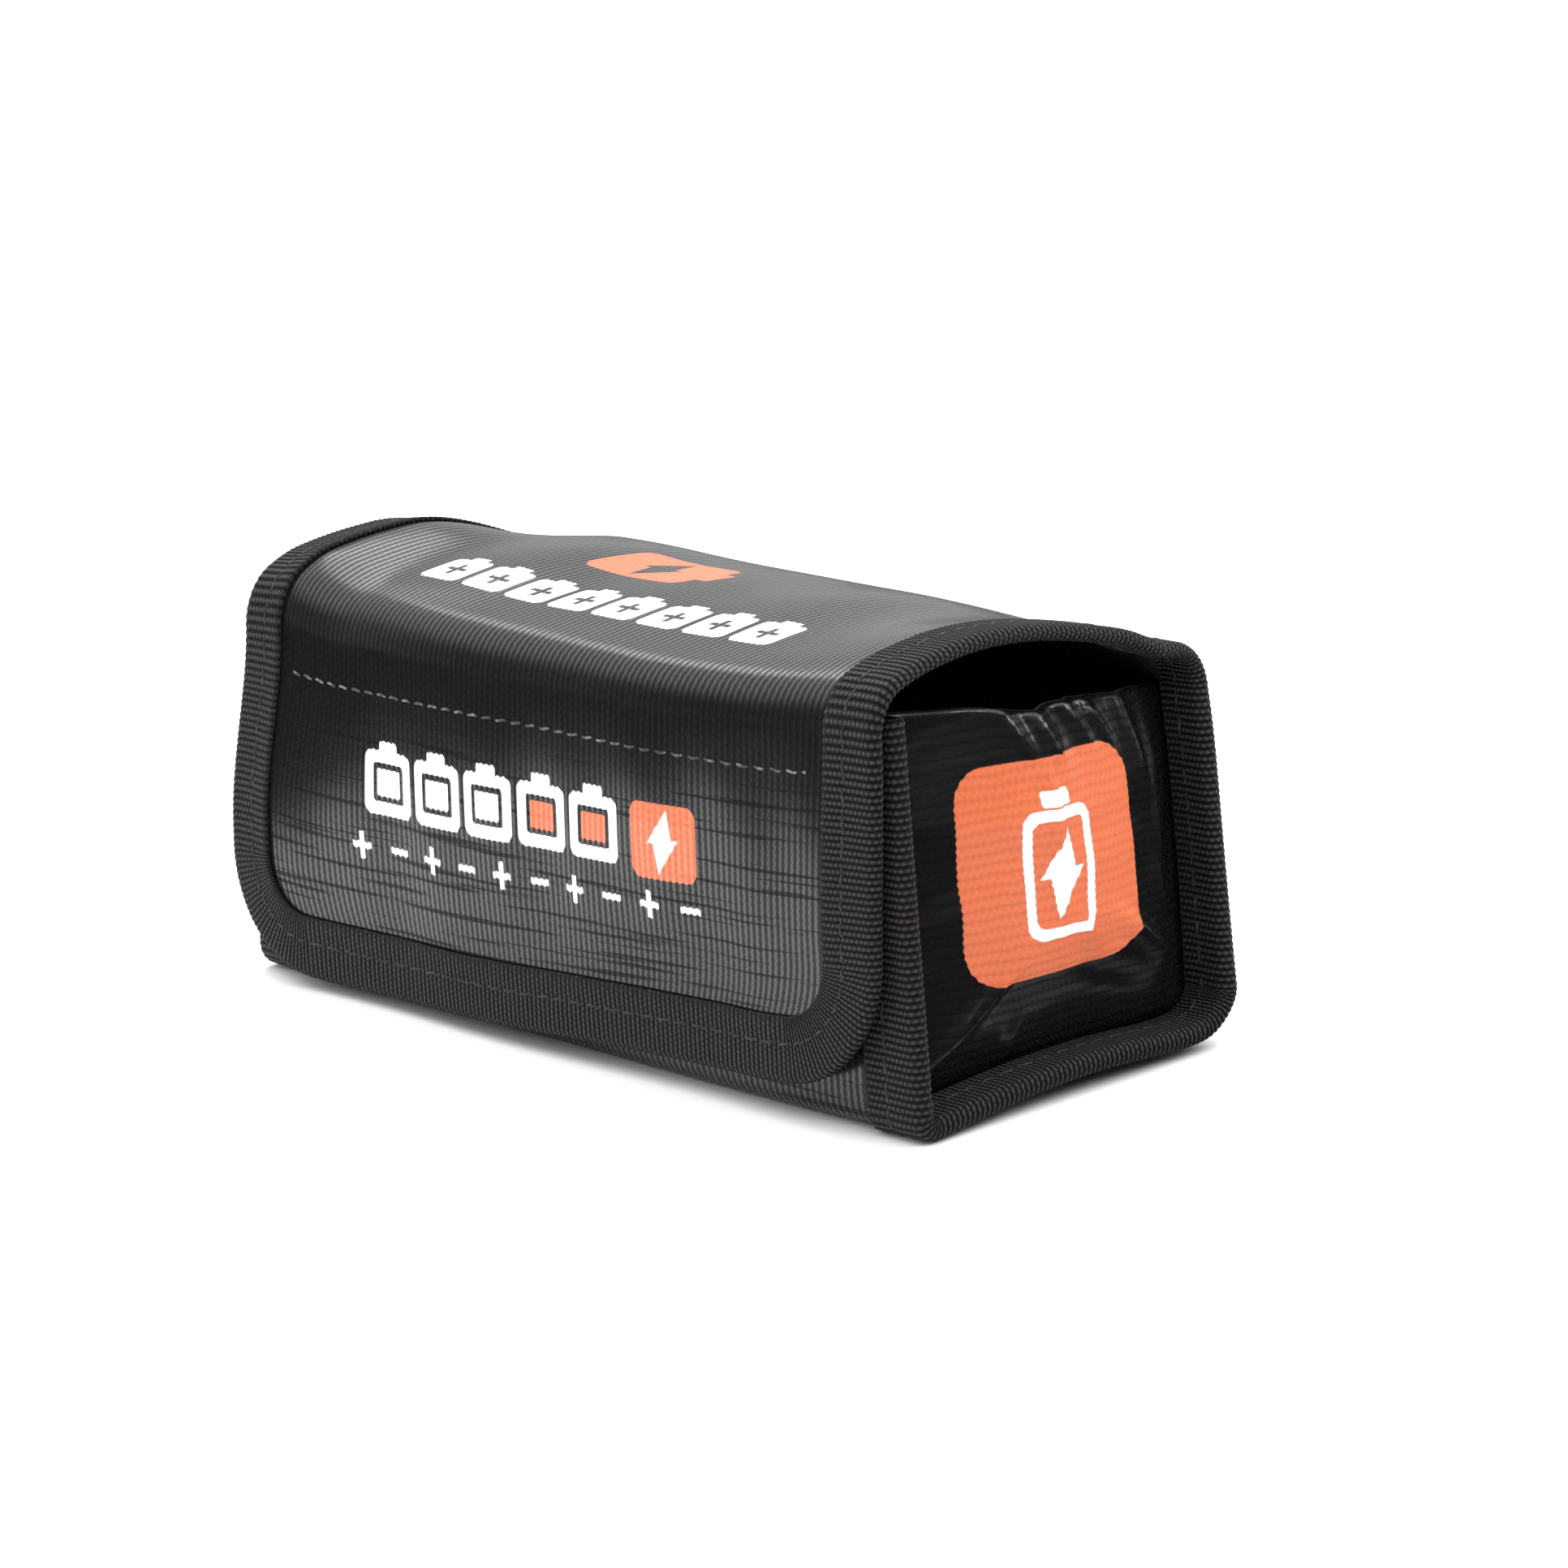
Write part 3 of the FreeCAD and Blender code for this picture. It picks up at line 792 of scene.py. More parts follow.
        coat = ((1.0 - streak * 0.7) * (0.27 + lustre * 1.22) * weave.coat).least(1.0)
        return recipe.finish(tone, height, weave.depth, roughness, coat)


class Fabrics:
    """The finishes of the other cloths, tapes and threads."""

    @staticmethod
    def lining() -> bpy.types.Material:
        """Dark grey woven glass lining, matt, with painted shade in the weave's dips and random grain in its
        tone.
        """
        recipe = Recipe("lining_weave", 0.78, 0.35)
        warp, weft = recipe.along, recipe.round
        check = ((warp / 0.8).floor() + (weft / 0.8).floor()) * 0.5
        over = (check - check.floor()).fade(0.2, 0.3)
        height = warp.wave(0.8) * (1.0 - over) + weft.wave(0.8) * over
        grain = recipe.noise(recipe.point(warp, weft), 0.9, 3.0)
        # Colour: painted shade, darker where the weave's relief dips and lighter on the thread tops, mixed
        # with random grain.
        tone = recipe.blend(height * 0.6 + grain * 0.4, (0.022, 0.0225, 0.025, 1.0), Palette.LINING.value)
        return recipe.finish(tone, height + grain * 0.2, 0.12)

    @staticmethod
    def tape() -> bpy.types.Material:
        """Near-black webbing: ribs across the tape, each a row of beads, with a painted highlight on the bead
        tops and painted shade in the grooves.
        """
        recipe = Recipe("binding_webbing", 0.80, 0.28, sheen=0.06)
        along, across = recipe.along, recipe.round
        parity = (along / 1.1).floor() * 0.5
        bead = across.wave(0.92, parity)
        rib = along.wave(1.1, 0.5)
        fuzz = recipe.noise(recipe.object_point, 2600.0, 2.0)
        height = rib * (0.45 + bead * 0.55) + fuzz * 0.3
        # Colour by relief height: painted shade in the grooves, painted highlight on the bead tops.
        tone = recipe.blend(height.fade(0.25, 1.15), Palette.TAPE.value, Palette.TAPE_PAINTED_HIGHLIGHT.value)
        tone = recipe.blend(recipe.specks(300.0, 0.05), tone, Palette.LINT.value)
        return recipe.finish(tone, height, 0.34)

    @staticmethod
    def thread(name: str, colour: tuple, lint: float) -> bpy.types.Material:
        """Polyester sewing thread with its ply twist.

        Args:
            name: the material's name.
            colour: its colour.
            lint: how much pale lint is caught on it, from 0 to 1.

        Returns:
            The material.
        """
        recipe = Recipe(name, 0.55, 0.4, sheen=0.15)
        twist = (recipe.along + recipe.round * 0.6).wave(0.42)
        fluff = recipe.noise(recipe.object_point, 900.0, 3.0).fade(0.50, 0.62) * lint
        tone = recipe.blend(fluff, colour, Palette.LINT.value)
        return recipe.finish(tone, twist, 0.08)

    @staticmethod
    def pile(name: str, colour: tuple, scale: float) -> bpy.types.Material:
        """The base and pile of a hook or loop strip."""
        recipe = Recipe(name, 0.62, 0.4, sheen=0.3)
        fuzz = recipe.noise(recipe.object_point, scale, 4.0)
        tone = recipe.blend(fuzz, tuple(0.45 * value for value in colour[:3]) + (1.0,), colour)
        return recipe.finish(tone, fuzz, 0.15)


@dataclass
class Finishes:
    """Every material of the bag, made once."""

    shell: Shell

    def __post_init__(self) -> None:
        """Make them."""
        cloth = CoatedCloth(self.shell)
        self.body = cloth.build("coated_cloth_body", Weave(streaks=0.8), Print.NONE)
        self.top = cloth.build("coated_cloth_printed", Weave(), Print.LID_AND_FLAP)
        ridged = Weave(rib_pitch=1.72, rib_power=0.45, streaks=0.5, depth=0.22, roughness=0.36, coat=0.9)
        self.gusset = cloth.build("coated_cloth_gusset", ridged, Print.GUSSET, turned=True)
        self.lining = Fabrics.lining()
        self.tape = Fabrics.tape()
        self.thread = Fabrics.thread("sewing_thread_black", Palette.THREAD.value, 0.12)
        self.linty = Fabrics.thread("sewing_thread_linty", (0.05, 0.05, 0.05, 1.0), 0.9)
        self.hook = Fabrics.pile("hook_tape_nylon", Palette.HOOK.value, 1500.0)
        self.loop = Fabrics.pile("loop_tape_nylon", Palette.LOOP.value, 2200.0)


# Building pieces

@dataclass
class Maker:
    """Dresses a piece and hides what it stands for."""

    finishes: Finishes
    made: list[str] = field(default_factory=list)

    def dress(self, piece: bpy.types.Object, material: bpy.types.Material, slot: str,
              replaced: tuple[str, ...] = ()) -> bpy.types.Object:
        """Give a piece its material, and log it.

        Args:
            piece: the piece.
            material: its finish.
            slot: not used.
            replaced: the CAD nodes that it stands for.

        Returns:
            The piece.
        """
        piece.data.materials.append(material)
        if replaced:
            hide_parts(*replaced)
        self.made.append(piece.name)
        log.info("%s: %d faces", piece.name, len(piece.data.polygons))
        return piece


class Joint(Enum):
    """The two soft folds, with the bodies that they join."""

    REAR = ("bag", "lid")
    FRONT = ("lid", "flap")


@dataclass
class Walls:
    """The panels of the long strip: outer cloth and lining."""

    shell: Shell
    maker: Maker
    cloth: float = 0.6
    lining: float = 0.4
    pitch: float = 1.25

    def sheet(self, name: str, low: float, high: float, near: float, far: float,
              rounded: bool = False) -> bpy.types.Object:
        """Make one layer of the strip between two distances.

        Args:
            name: the piece's name.
            low: the s where it starts.
            high: the s where it ends.
            near: the depth of its outer face.
            far: the depth of its inner face.
            rounded: whether it ends in the flap's rounded corners.

        Returns:
            The piece, not yet dressed.
        """
        half = self.shell.cloth_half()
        bm = lattice(evenly(-half, half, self.pitch), evenly(low, high, self.pitch))
        thicken(bm, near, far)

        def place(strip: Field) -> Field:
            x, s, depth = strip.T
            return self.shell.place(self.drawn_in(x, s) if rounded else x, s, depth)

        return as_object(name, bm, place)

    def drawn_in(self, x: Field, s: Field) -> Field:
        """Draw the strip in at the flap's rounded corners."""
        radius = self.shell.corner - self.shell.flap_inset
        over = np.clip(s - (self.shell.cloth_end() - radius), 0.0, radius - 0.2)
        inset = radius - np.sqrt(radius ** 2 - over ** 2)
        return x * (1.0 - inset / self.shell.cloth_half())

    def build(self) -> None:
        """Make the six sheets."""
        shell, dress, finishes = self.shell, self.maker.dress, self.maker.finishes
        half, under = shell.cloth_half(), self.cloth + self.lining
        cut, low, end = shell.cut(), shell.foot_back, shell.cloth_end()
        layers = (("cloth", 0.0, self.cloth, "outer", "coated_cloth"),
                  ("lining", self.cloth, under, "lining", "lining_cloth"))
        for layer, near, far, node, slot in layers:
            plain = finishes.body if layer == "cloth" else finishes.lining
            printed = finishes.top if layer == "cloth" else finishes.lining
            walls = dress(self.sheet(f"walls_{layer}", 0.0, low, near, far), plain, slot,
                          (f"front_panel_{node}", f"bottom_panel_{node}"))
            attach(walls, "bag")
            back = dress(self.sheet(f"back_{layer}", low, cut, near, far), plain, slot,
                         (f"back_panel_{node}",))
            blend_fold(shell, back, Joint.REAR)
            top = dress(self.sheet(f"lid_and_flap_{layer}", cut, end, near, far, rounded=True), printed, slot,
                        (f"lid_{node}", f"flap_{node}"))
            blend_fold(shell, top, Joint.FRONT)


def blend_fold(shell: Shell, piece: bpy.types.Object, joint: Joint) -> None:
    """Find where one of the two soft folds lies and bake a piece's placement into its mesh.

    Args:
        shell: the strip, which gives the fold's place.
        piece: the piece.
        joint: which fold.
    """
    stops = (shell.rear_fold, shell.lid_back) if joint is Joint.REAR else (shell.lid_front, shell.flap_start)
    y, z, _ = shell.line.locate(np.array(stops))
    start, end = ((0.0, float(y[index]) * MM, float(z[index]) * MM) for index in range(2))
    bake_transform(piece)
    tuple(start)
    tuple(end)


@dataclass
class Binding:
    """Woven tape folded over a raw edge, with the thread that holds it."""

    shell: Shell
    path: Line
    start_along: float = 0.0
    leg: float = 11.0
    inner_leg: float = 11.0
    seam: float = 1.0
    seam_top: float | None = None
    thickness: float = 0.8
    rib_pitch: float = 1.1
    stitch_inset: float = 6.5
    stitch_pitch: float = 4.2
    relief: float = 1.0

    def under(self, s: Field) -> Field:
        """How thick the layers between the tape's legs are."""
        if self.seam_top is None:
            return np.full(s.shape, self.seam)
        fold = self.shell.rear_fold
        return self.seam_top + (self.seam - self.seam_top) * ease(s, fold + 7.0, fold - 3.0)

    def spot(self, along: Field, inset: Field) -> tuple[Field, Field]:
        """The x and s at an inset from the edge."""
        x, down, turn = self.path.locate(along)
        return x - inset * np.sin(turn), -(down + inset * np.cos(turn))

    def profile(self) -> list[tuple[float, float, float, float]]:
        """The folded tape's outline: inset, share of the way inside, height off the cloth, relief."""
        t, rim, full_leg = self.thickness, 1.2, 11.0
        insets = (10.75, 9.9, 8.9, 7.9, 7.1, 6.5, 5.9, 5.0, 4.0, 3.0, 2.1, rim)
        outer = [(inset, 0.0, t, 1.0) for inset in insets]
        round_rim = [(0.42, 0.06, 0.62 * t, 1.0), (0.06, 0.28, 0.15 * t, 1.0), (-0.04, 0.5, 0.0, 1.0),
                     (0.06, 0.72, 0.15 * t, 1.0), (0.42, 0.94, 0.62 * t, 1.0)]
        share = self.inner_leg / self.leg
        inner = [(inset * share if inset > 3.0 else inset, 1.0, height, relief)
                 for inset, _, height, relief in reversed(outer)]
        end_in = [(self.inner_leg, 1.0, 0.5 * t, 0.0), (self.inner_leg - 0.25, 1.0, 0.02, 0.0)]
        back = [(rim + 0.5, 1.0, 0.02, 0.0), (rim - 0.1, 0.5, 0.0, 0.0), (rim + 0.5, 0.0, 0.02, 0.0)]
        end_out = [(insets[0], 0.0, 0.02, 0.0), (full_leg, 0.0, 0.5 * t, 0.0)]
        loop = outer + round_rim + inner + end_in + back + end_out
        share = self.leg / full_leg
        loop = [(inset * share if inset > 3.0 and side < 0.5 else inset, side, height, relief * self.relief)
                for inset, side, height, relief in loop]
        return loop + loop[:1]

    def tape(self, name: str, length: float) -> bpy.types.Object:
        """Make the tape along the path.

        Args:
            name: the piece's name.
            length: how far it goes along the path.

        Returns:
            The piece, not yet dressed.
        """
        profile = np.array(self.profile())
        inset_step, side_step, height_step, _ = np.diff(profile, axis=0).T
        steps = inset_step ** 2 + (side_step * 2.0) ** 2 + height_step ** 2
        across = np.concatenate([[0.0], np.cumsum(np.sqrt(steps))])
        rows = np.arange(len(profile), dtype=float)
        bm = lattice(evenly(0.0, length, self.rib_pitch / 5.0), rows)
        strip_layer = bm.verts.layers.float_vector["strip"]

        def place(strip: Field) -> Field:
            along, index = strip[:, 0], strip[:, 1].round().astype(int)
            inset, side, height, relief = profile[index].T
            _, s = self.spot(along, inset)
            inside = self.under(s)
            phase = (along + self.start_along) / self.rib_pitch
            rib = 0.17 * np.abs(np.sin(math.pi * phase)) - 0.09
            groove = 0.16 * hump(inset, self.stitch_inset, 0.8)
            stitch = 2.0 * math.pi * (along + self.start_along) / self.stitch_pitch
            pull = groove * (0.6 + 0.4 * np.cos(stitch))
            proud = relief * (height / self.thickness) * (rib - pull)
            proud = proud + height * (1.0 + 0.02 * np.sin(along / 5.1 + inset))
            fringe = relief * 0.10 * np.sin(2.0 * math.pi * phase) * ((inset > 10.0) | (inset < 0.2))
            rim_out = relief * (height < self.thickness * 0.7) * (0.15 * np.abs(np.sin(math.pi * phase)))
            x, s = self.spot(along, inset + fringe - rim_out)
            depth = side * inside + np.where(side < 0.5, -proud, proud) * np.abs(2.0 * side - 1.0)
            return self.shell.place(x, s, depth)

        for vert, point in zip(bm.verts, place(strip_rows(bm))):
            vert.co = point
            along, index, _ = vert[strip_layer]
            vert[strip_layer] = (along + self.start_along, across[int(round(index))], 0.0)
        return as_object(name, bm, None, weld=1e-6)

    def thread(self, name: str, length: float, inside: bool, radius: float = 0.2) -> bpy.types.Object:
        """Make the row of stitches on one leg, which dips at every needle hole.

        Args:
            name: the piece's name.
            length: how far it goes along the path.
            inside: whether it lies on the inner leg.
            radius: the thread's radius.

        Returns:
            The piece, not yet dressed.
        """
        bm = lattice(evenly(1.0, length - 1.0, self.stitch_pitch / 10.0), np.arange(7.0))

        def place(strip: Field) -> Field:
            along, angle = strip[:, 0], strip[:, 1] * (math.pi / 3.0)
            share = self.inner_leg / self.leg if inside else 1.0
            inset = self.stitch_inset * share
            _, s = self.spot(along, np.full(along.shape, inset))
            hole = np.abs(np.cos(math.pi * (along + self.start_along) / self.stitch_pitch)) ** 9
            height = self.thickness - 0.02 - 0.55 * hole + radius * np.sin(angle)
            sway = 0.12 * np.sin(along * 1.7)
            x, s = self.spot(along, inset + sway + radius * 1.15 * np.cos(angle))
            depth = self.under(s) + height if inside else -height
            return self.shell.place(x, s, depth)

        return as_object(name, bm, place, weld=1e-6)


@dataclass
class Bindings:
    """All the tapes: two side seams, each in two lengths, and the long one round lid and flap."""

    shell: Shell
    maker: Maker

    def side_line(self, side: int, low: float, high: float) -> Line:
        """The edge of one side from s = low to high, with the bag on its left."""
        x = side * self.shell.half_length
        if side < 0:
            return Line((x, -low), 270.0, [Run(high - low)])
        return Line((x, -high), 90.0, [Run(high - low)])

    def outline(self) -> Line:
        """The edge from the lid's left rear corner round the flap to its right rear corner."""
        shell = self.shell
        half, cut = shell.half_length, shell.cut()
        side, turn = shell.flap_end - shell.corner - cut, Bend(shell.corner, 90.0)
        return Line((-half, -cut), 270.0,
                    [Run(side), turn, Run(2.0 * (half - shell.corner)), turn, Run(side)])

    def build(self) -> None:
        """Make the tapes and their threads."""
        shell, dress, finishes = self.shell, self.maker.dress, self.maker.finishes
        split, cut = shell.foot_back + 2.0, shell.cut()
        for side_name, side in (("left", -1), ("right", 1)):
            for part, low, high, joint in (("front", -0.3, split, None), ("back", split, cut, Joint.REAR)):
                start = low if side < 0 else -high
                nodes = ("front", "bottom") if part == "front" else ("back",)
                length = high - low
                binding = Binding(shell, self.side_line(side, low, high), start,
                                  inner_leg=8.6, seam=2.0, seam_top=1.0)
                pieces = [dress(binding.tape(f"{part}_{side_name}_binding", length), finishes.tape,
                                "binding_tape", tuple(f"{node}_{side_name}_tape" for node in nodes))]
                for face, inside in (("outer", False), ("inner", True)):
                    replaced = (f"{side_name}_seam_stitches",) if part == "front" and not inside else ()
                    row = binding.thread(f"{part}_{side_name}_{face}_thread", length, inside)
                    pieces.append(dress(row, finishes.thread, "sewing_thread", replaced))
                for piece in pieces:
                    if joint is None:
                        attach(piece, "bag")
                    else:
                        blend_fold(shell, piece, joint)
        outline = self.outline()
        binding = Binding(shell, outline, cut)
        length = outline.stops[-1]
        tape = dress(binding.tape("lid_and_flap_binding", length), finishes.tape, "binding_tape",
                     ("lid_left_tape", "lid_right_tape", "flap_tape"))
        blend_fold(shell, tape, Joint.FRONT)
        for face, inside, node in (("outer", False, "lid_stitches"), ("inner", True, "flap_tape_stitches")):
            row = dress(binding.thread(f"lid_and_flap_{face}_thread", length, inside), finishes.thread,
                        "sewing_thread", (node,))
            blend_fold(shell, row, Joint.FRONT)


class Pile(Enum):
    """The two faces of the closure, with the turn of one wire in degrees."""

    HOOK = 235.0
    LOOP = 180.0


@dataclass
class Closure:
    """The hook strip in the flap, the loop strip on the front wall, the mouth's hem and their seams."""

    shell: Shell
    maker: Maker
    half_length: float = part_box("hook_strip")[1].x / MM
    low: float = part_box("hook_strip")[0].z / MM
    high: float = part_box("hook_strip")[1].z / MM
    under_flap: float = 1.0
    base: float = 0.55
    gap: float = 0.02
    pitch: float = 1.9
    hem_half: float = 69.0

    def backing(self, name: str, low: float, high: float, near: float, far: float) -> bpy.types.Object:
        """The woven base of one strip between two distances and two depths."""
        bm = lattice(evenly(-self.half_length, self.half_length, 2.0), evenly(low, high, 2.0))
        thicken(bm, near, far)
        return as_object(name, bm, lambda strip: self.shell.place(*strip.T))

    def pile(self, name: str, kind: Pile, low: float, high: float, foot: float,
             rise: float) -> bpy.types.Object:
        """The wires that stand on one strip's base.

        Args:
            name: the piece's name.
            kind: hooks or loops.
            low: the s where they start.
            high: the s where they end.
            foot: the depth that they stand on.
            rise: 1 where they point inward, -1 where they point outward.

        Returns:
            The piece, not yet dressed.
        """
        bm = bmesh.new()
        ring = bmesh.ops.create_circle(bm, segments=4, radius=0.085)
        bmesh.ops.translate(bm, vec=(0.30, 0.0, 0.0), verts=ring["verts"])
        bmesh.ops.spin(bm, geom=bm.edges[:], cent=(0.0, 0.0, 0.0), axis=(0.0, -1.0, 0.0),
                       angle=math.radians(kind.value), steps=6)
        wire = as_object(name, bm)
        columns = int(2.0 * (self.half_length - 1.5) / self.pitch)
        rows = int((high - low - 3.0) / self.pitch)
        for count, axis in ((columns, 0), (rows, 1)):
            array = wire.modifiers.new("repeat", "ARRAY")
            array.count, array.use_relative_offset, array.use_constant_offset = count, False, True
            array.constant_offset_displace = [self.pitch * (index == axis) for index in range(3)]
        mesh = bpy.data.meshes.new_from_object(wire.evaluated_get(bpy.context.evaluated_depsgraph_get()))
        wire.modifiers.clear()
        wire.data = mesh
        points = np.zeros(len(mesh.vertices) * 3)
        mesh.vertices.foreach_get("co", points)
        points = points.reshape(-1, 3)
        column = np.floor(points[:, 0] / self.pitch + 0.5)
        row = np.floor(points[:, 1] / self.pitch + 0.5)
        x, y = points[:, 0] - column * self.pitch, points[:, 1] - row * self.pitch
        loose = 2.4 if kind is Pile.LOOP else 0.25
        turn = loose * np.sin(column * 12.9898 + row * 78.233 + 0.7 * np.sin(column * row))
        tall = 1.0 + 0.22 * np.sin(column * 3.1 + row * 5.3) * (kind is Pile.LOOP)
        across = x * np.cos(turn) - y * np.sin(turn) + column * self.pitch - self.half_length + 2.2
        along = x * np.sin(turn) + y * np.cos(turn) + row * self.pitch + low + 2.2
        depth = foot + rise * (points[:, 2] * tall + 0.05)
        mesh.vertices.foreach_set("co", self.shell.place(across, along, depth).ravel())
        mesh.update()
        return wire

    def seam(self, name: str, s: float, half: float, height: float) -> bpy.types.Object:
        """A row of stitches along the bag at one s, at a height above the cloth."""
        row = Binding(self.shell, Line((-half, -s), 0.0, [Run(2.0 * half)]), thickness=height,
                      stitch_inset=0.0, stitch_pitch=3.6)
        return row.thread(name, 2.0 * half, False, 0.19)

    def build(self) -> None:
        """Make both strips, the hem and the seams."""
        shell, dress, finishes = self.shell, self.maker.dress, self.maker.finishes
        flap_low, flap_high = shell.on_flap(self.high), shell.on_flap(self.low)
        wall_low, wall_high = shell.mouth_z - self.high, shell.mouth_z - self.low
        inner = self.under_flap + self.base
        on_flap = [
            dress(self.backing("hook_backing", flap_low, flap_high, self.under_flap + self.gap, inner),
                  finishes.hook, "hook_tape", ("hook_strip",)),
            dress(self.pile("hook_wires", Pile.HOOK, flap_low, flap_high, inner, 1.0), finishes.hook,
                  "hook_tape"),
            dress(self.seam("hook_seam", shell.on_flap(56.0), 66.0, self.gap), finishes.linty,
                  "sewing_thread", ("hook_strip_stitches",))]
        hem_length = 2.0 * self.hem_half
        hem = Binding(shell, Line((self.hem_half, 0.0), 180.0, [Run(hem_length)]), leg=8.0, inner_leg=8.0,
                      thickness=0.35, relief=0.0)
        seam_half = self.half_length - 0.5
        on_wall = [
            dress(self.backing("loop_backing", wall_low, wall_high, -self.base, -self.gap), finishes.loop,
                  "loop_tape", ("loop_strip",)),
            dress(self.pile("loop_wires", Pile.LOOP, wall_low, wall_high, -self.base, -1.0), finishes.loop,
                  "loop_tape"),
            dress(hem.tape("mouth_hem", hem_length), finishes.body, "coated_cloth"),
            dress(self.seam("mouth_hem_seam", 6.0, self.hem_half - 1.0, 0.37), finishes.thread,
                  "sewing_thread", ("front_hem_stitches",)),
            dress(self.seam("loop_upper_seam", wall_low + 2.0, seam_half, 0.72), finishes.thread,
                  "sewing_thread", ("loop_strip_stitches",)),
            dress(self.seam("loop_lower_seam", wall_high - 2.0, seam_half, 0.72), finishes.thread,
                  "sewing_thread")]
        for piece in on_flap:
            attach(piece, "flap")
        for piece in on_wall:
            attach(piece, "bag")


@dataclass(frozen=True)
class Crumple:
    """One small crease of a gusset: its middle, its length's direction, its sizes and its height."""

    y: float
    z: float
    angle: float
    long: float
    wide: float
    height: float

    def at(self, y: Field, z: Field) -> Field:
        """The crease's share of the surface's height."""
        turn = math.radians(self.angle)
        along = (y - self.y) * math.cos(turn) + (z - self.z) * math.sin(turn)
        beside = (z - self.z) * math.cos(turn) - (y - self.y) * math.sin(turn)
        return self.height * np.exp(-(along / self.long) ** 2 - (beside / self.wide) ** 2)


@dataclass
class Gusset:
    """One end wall: a slack sheet that bulges outward over a Y-shaped ridge."""

    shell: Shell
    maker: Maker
    side: int
    seam: float = 70.0
    seam_depth: float = 1.0
    bulge: float = 8.7
    node_z: float = 28.0
    flat: tuple[float, float] = (0.0934, 0.077)
    columns: int = 64
    rows: int = 58

    def creases(self) -> list[Crumple]:
        """The small creases, nearly alike on both ends."""
        turn = 1.0 if self.side > 0 else 0.8
        return [
            Crumple(-3.5, 57.5, -62.0, 6.0, 1.0, 1.3 * turn), Crumple(2.5, 56.5, -66.0, 6.5, 0.9, 1.5),
            Crumple(6.5, 58.0, -63.0, 5.0, 1.1, -1.0), Crumple(10.5, 58.0, -60.0, 5.5, 1.0, 1.4),
            Crumple(15.0, 57.5, -57.0, 6.0, 1.1, 1.6 * turn), Crumple(1.0, 45.0, 90.0, 17.0, 0.8, 1.1),
            Crumple(-14.0, 17.0, 38.0, 14.0, 0.9, 1.2), Crumple(7.5, 24.0, -50.0, 6.0, 1.2, 1.6 * turn),
            Crumple(23.0, 52.0, -80.0, 12.0, 1.8, 1.5), Crumple(27.5, 40.0, 84.0, 17.0, 1.5, 1.3 * turn),
            Crumple(20.0, 22.5, -34.0, 8.0, 1.5, 1.2), Crumple(25.0, 18.0, -40.0, 7.0, 1.3, 1.1 * turn),
            Crumple(29.0, 24.0, -62.0, 6.0, 1.2, 0.8), Crumple(15.5, 16.0, -22.0, 8.0, 1.8, -0.8),
            Crumple(-8.0, 8.2, 64.0, 3.6, 1.6, 1.5), Crumple(-24.0, 34.0, 12.0, 9.0, 2.2, -0.45),
            Crumple(-20.0, 47.0, 8.0, 10.0, 2.6, 0.4), Crumple(-27.0, 22.0, 30.0, 6.0, 2.0, 0.4),
            Crumple(33.0, 33.0, 78.0, 16.0, 1.4, -0.8)]

    def surface(self, u: Field, v: Field) -> tuple[Field, Field]:
        """The gusset's outer face.

        Args:
            u: 0 at the front seam, 1 at the back seam.
            v: 0 at the bottom, 1 at the mouth.

        Returns:
            The points in millimetres, and the s of the wall beside each edge point.
        """
        shell = self.shell
        x = np.full(u.shape, self.side * self.seam)
        depth = np.full(u.shape, self.seam_depth)
        low_front = (shell.foot_front + shell.bottom_front) / 2.0
        low_back = (shell.bottom_back + shell.foot_back) / 2.0
        top_back = shell.rear_fold + 0.4
        s_front, s_back = low_front * (1.0 - v), low_back + (top_back - low_back) * v
        s_bottom = low_front + (low_back - low_front) * u

        def edge(s: Field) -> Field:
            return shell.place(x, s, depth) / MM

        front, back, bottom = edge(s_front), edge(s_back), edge(s_bottom)
        zero = np.zeros(u.shape)
        corners = [edge(zero), edge(zero + top_back), edge(zero + low_front), edge(zero + low_back)]
        u3, v3 = u[:, None], v[:, None]
        top = corners[0] * (1.0 - u3) + corners[1] * u3
        top[:, 2] += np.sin(math.pi * u) * (0.5 * np.sin(9.0 * u + 0.6) + 0.3 * np.sin(23.0 * u) - 0.4)
        top[:, 0] += self.side * np.sin(math.pi * u) * 0.7 * np.sin(15.0 * u + 1.0)
        flat = (front * (1.0 - u3) + back * u3 + bottom * (1.0 - v3) + top * v3
                - corners[2] * (1.0 - u3) * (1.0 - v3) - corners[3] * u3 * (1.0 - v3)
                - corners[0] * (1.0 - u3) * v3 - corners[1] * u3 * v3)
        beside = np.where(u < 1e-6, s_front, np.where(u > 1.0 - 1e-6, s_back, s_bottom))
        return flat, beside

    def height(self, flat: Field, u: Field, v: Field) -> Field:
        """How far the slack sheet stands out, in millimetres."""
        y, z = flat[:, 1], flat[:, 2]
        fade = np.interp(z, [self.node_z, 44.0, 54.0, 61.75], [1.0, 0.99, 0.76, 0.5])
        front = self.bulge * 2.0 * u * fade
        back = self.bulge * (1.0 - np.clip(2.0 * u - 1.0, 0.0, 1.0) ** 2.3) * fade
        back = back + 40.0 * (u < 0.5) * (0.5 - u)
        foot = self.bulge * v * (62.0 / (self.node_z - 0.8))
        foot = foot + 0.9 * np.sin(math.pi * np.clip(v * 2.2, 0.0, 1.0)) * ease(u, 0.45, 0.8)

        def softer(first: Field, second: Field, rounding: float) -> Field:
            return 0.5 * (first + second - np.sqrt((first - second) ** 2 + rounding ** 2))

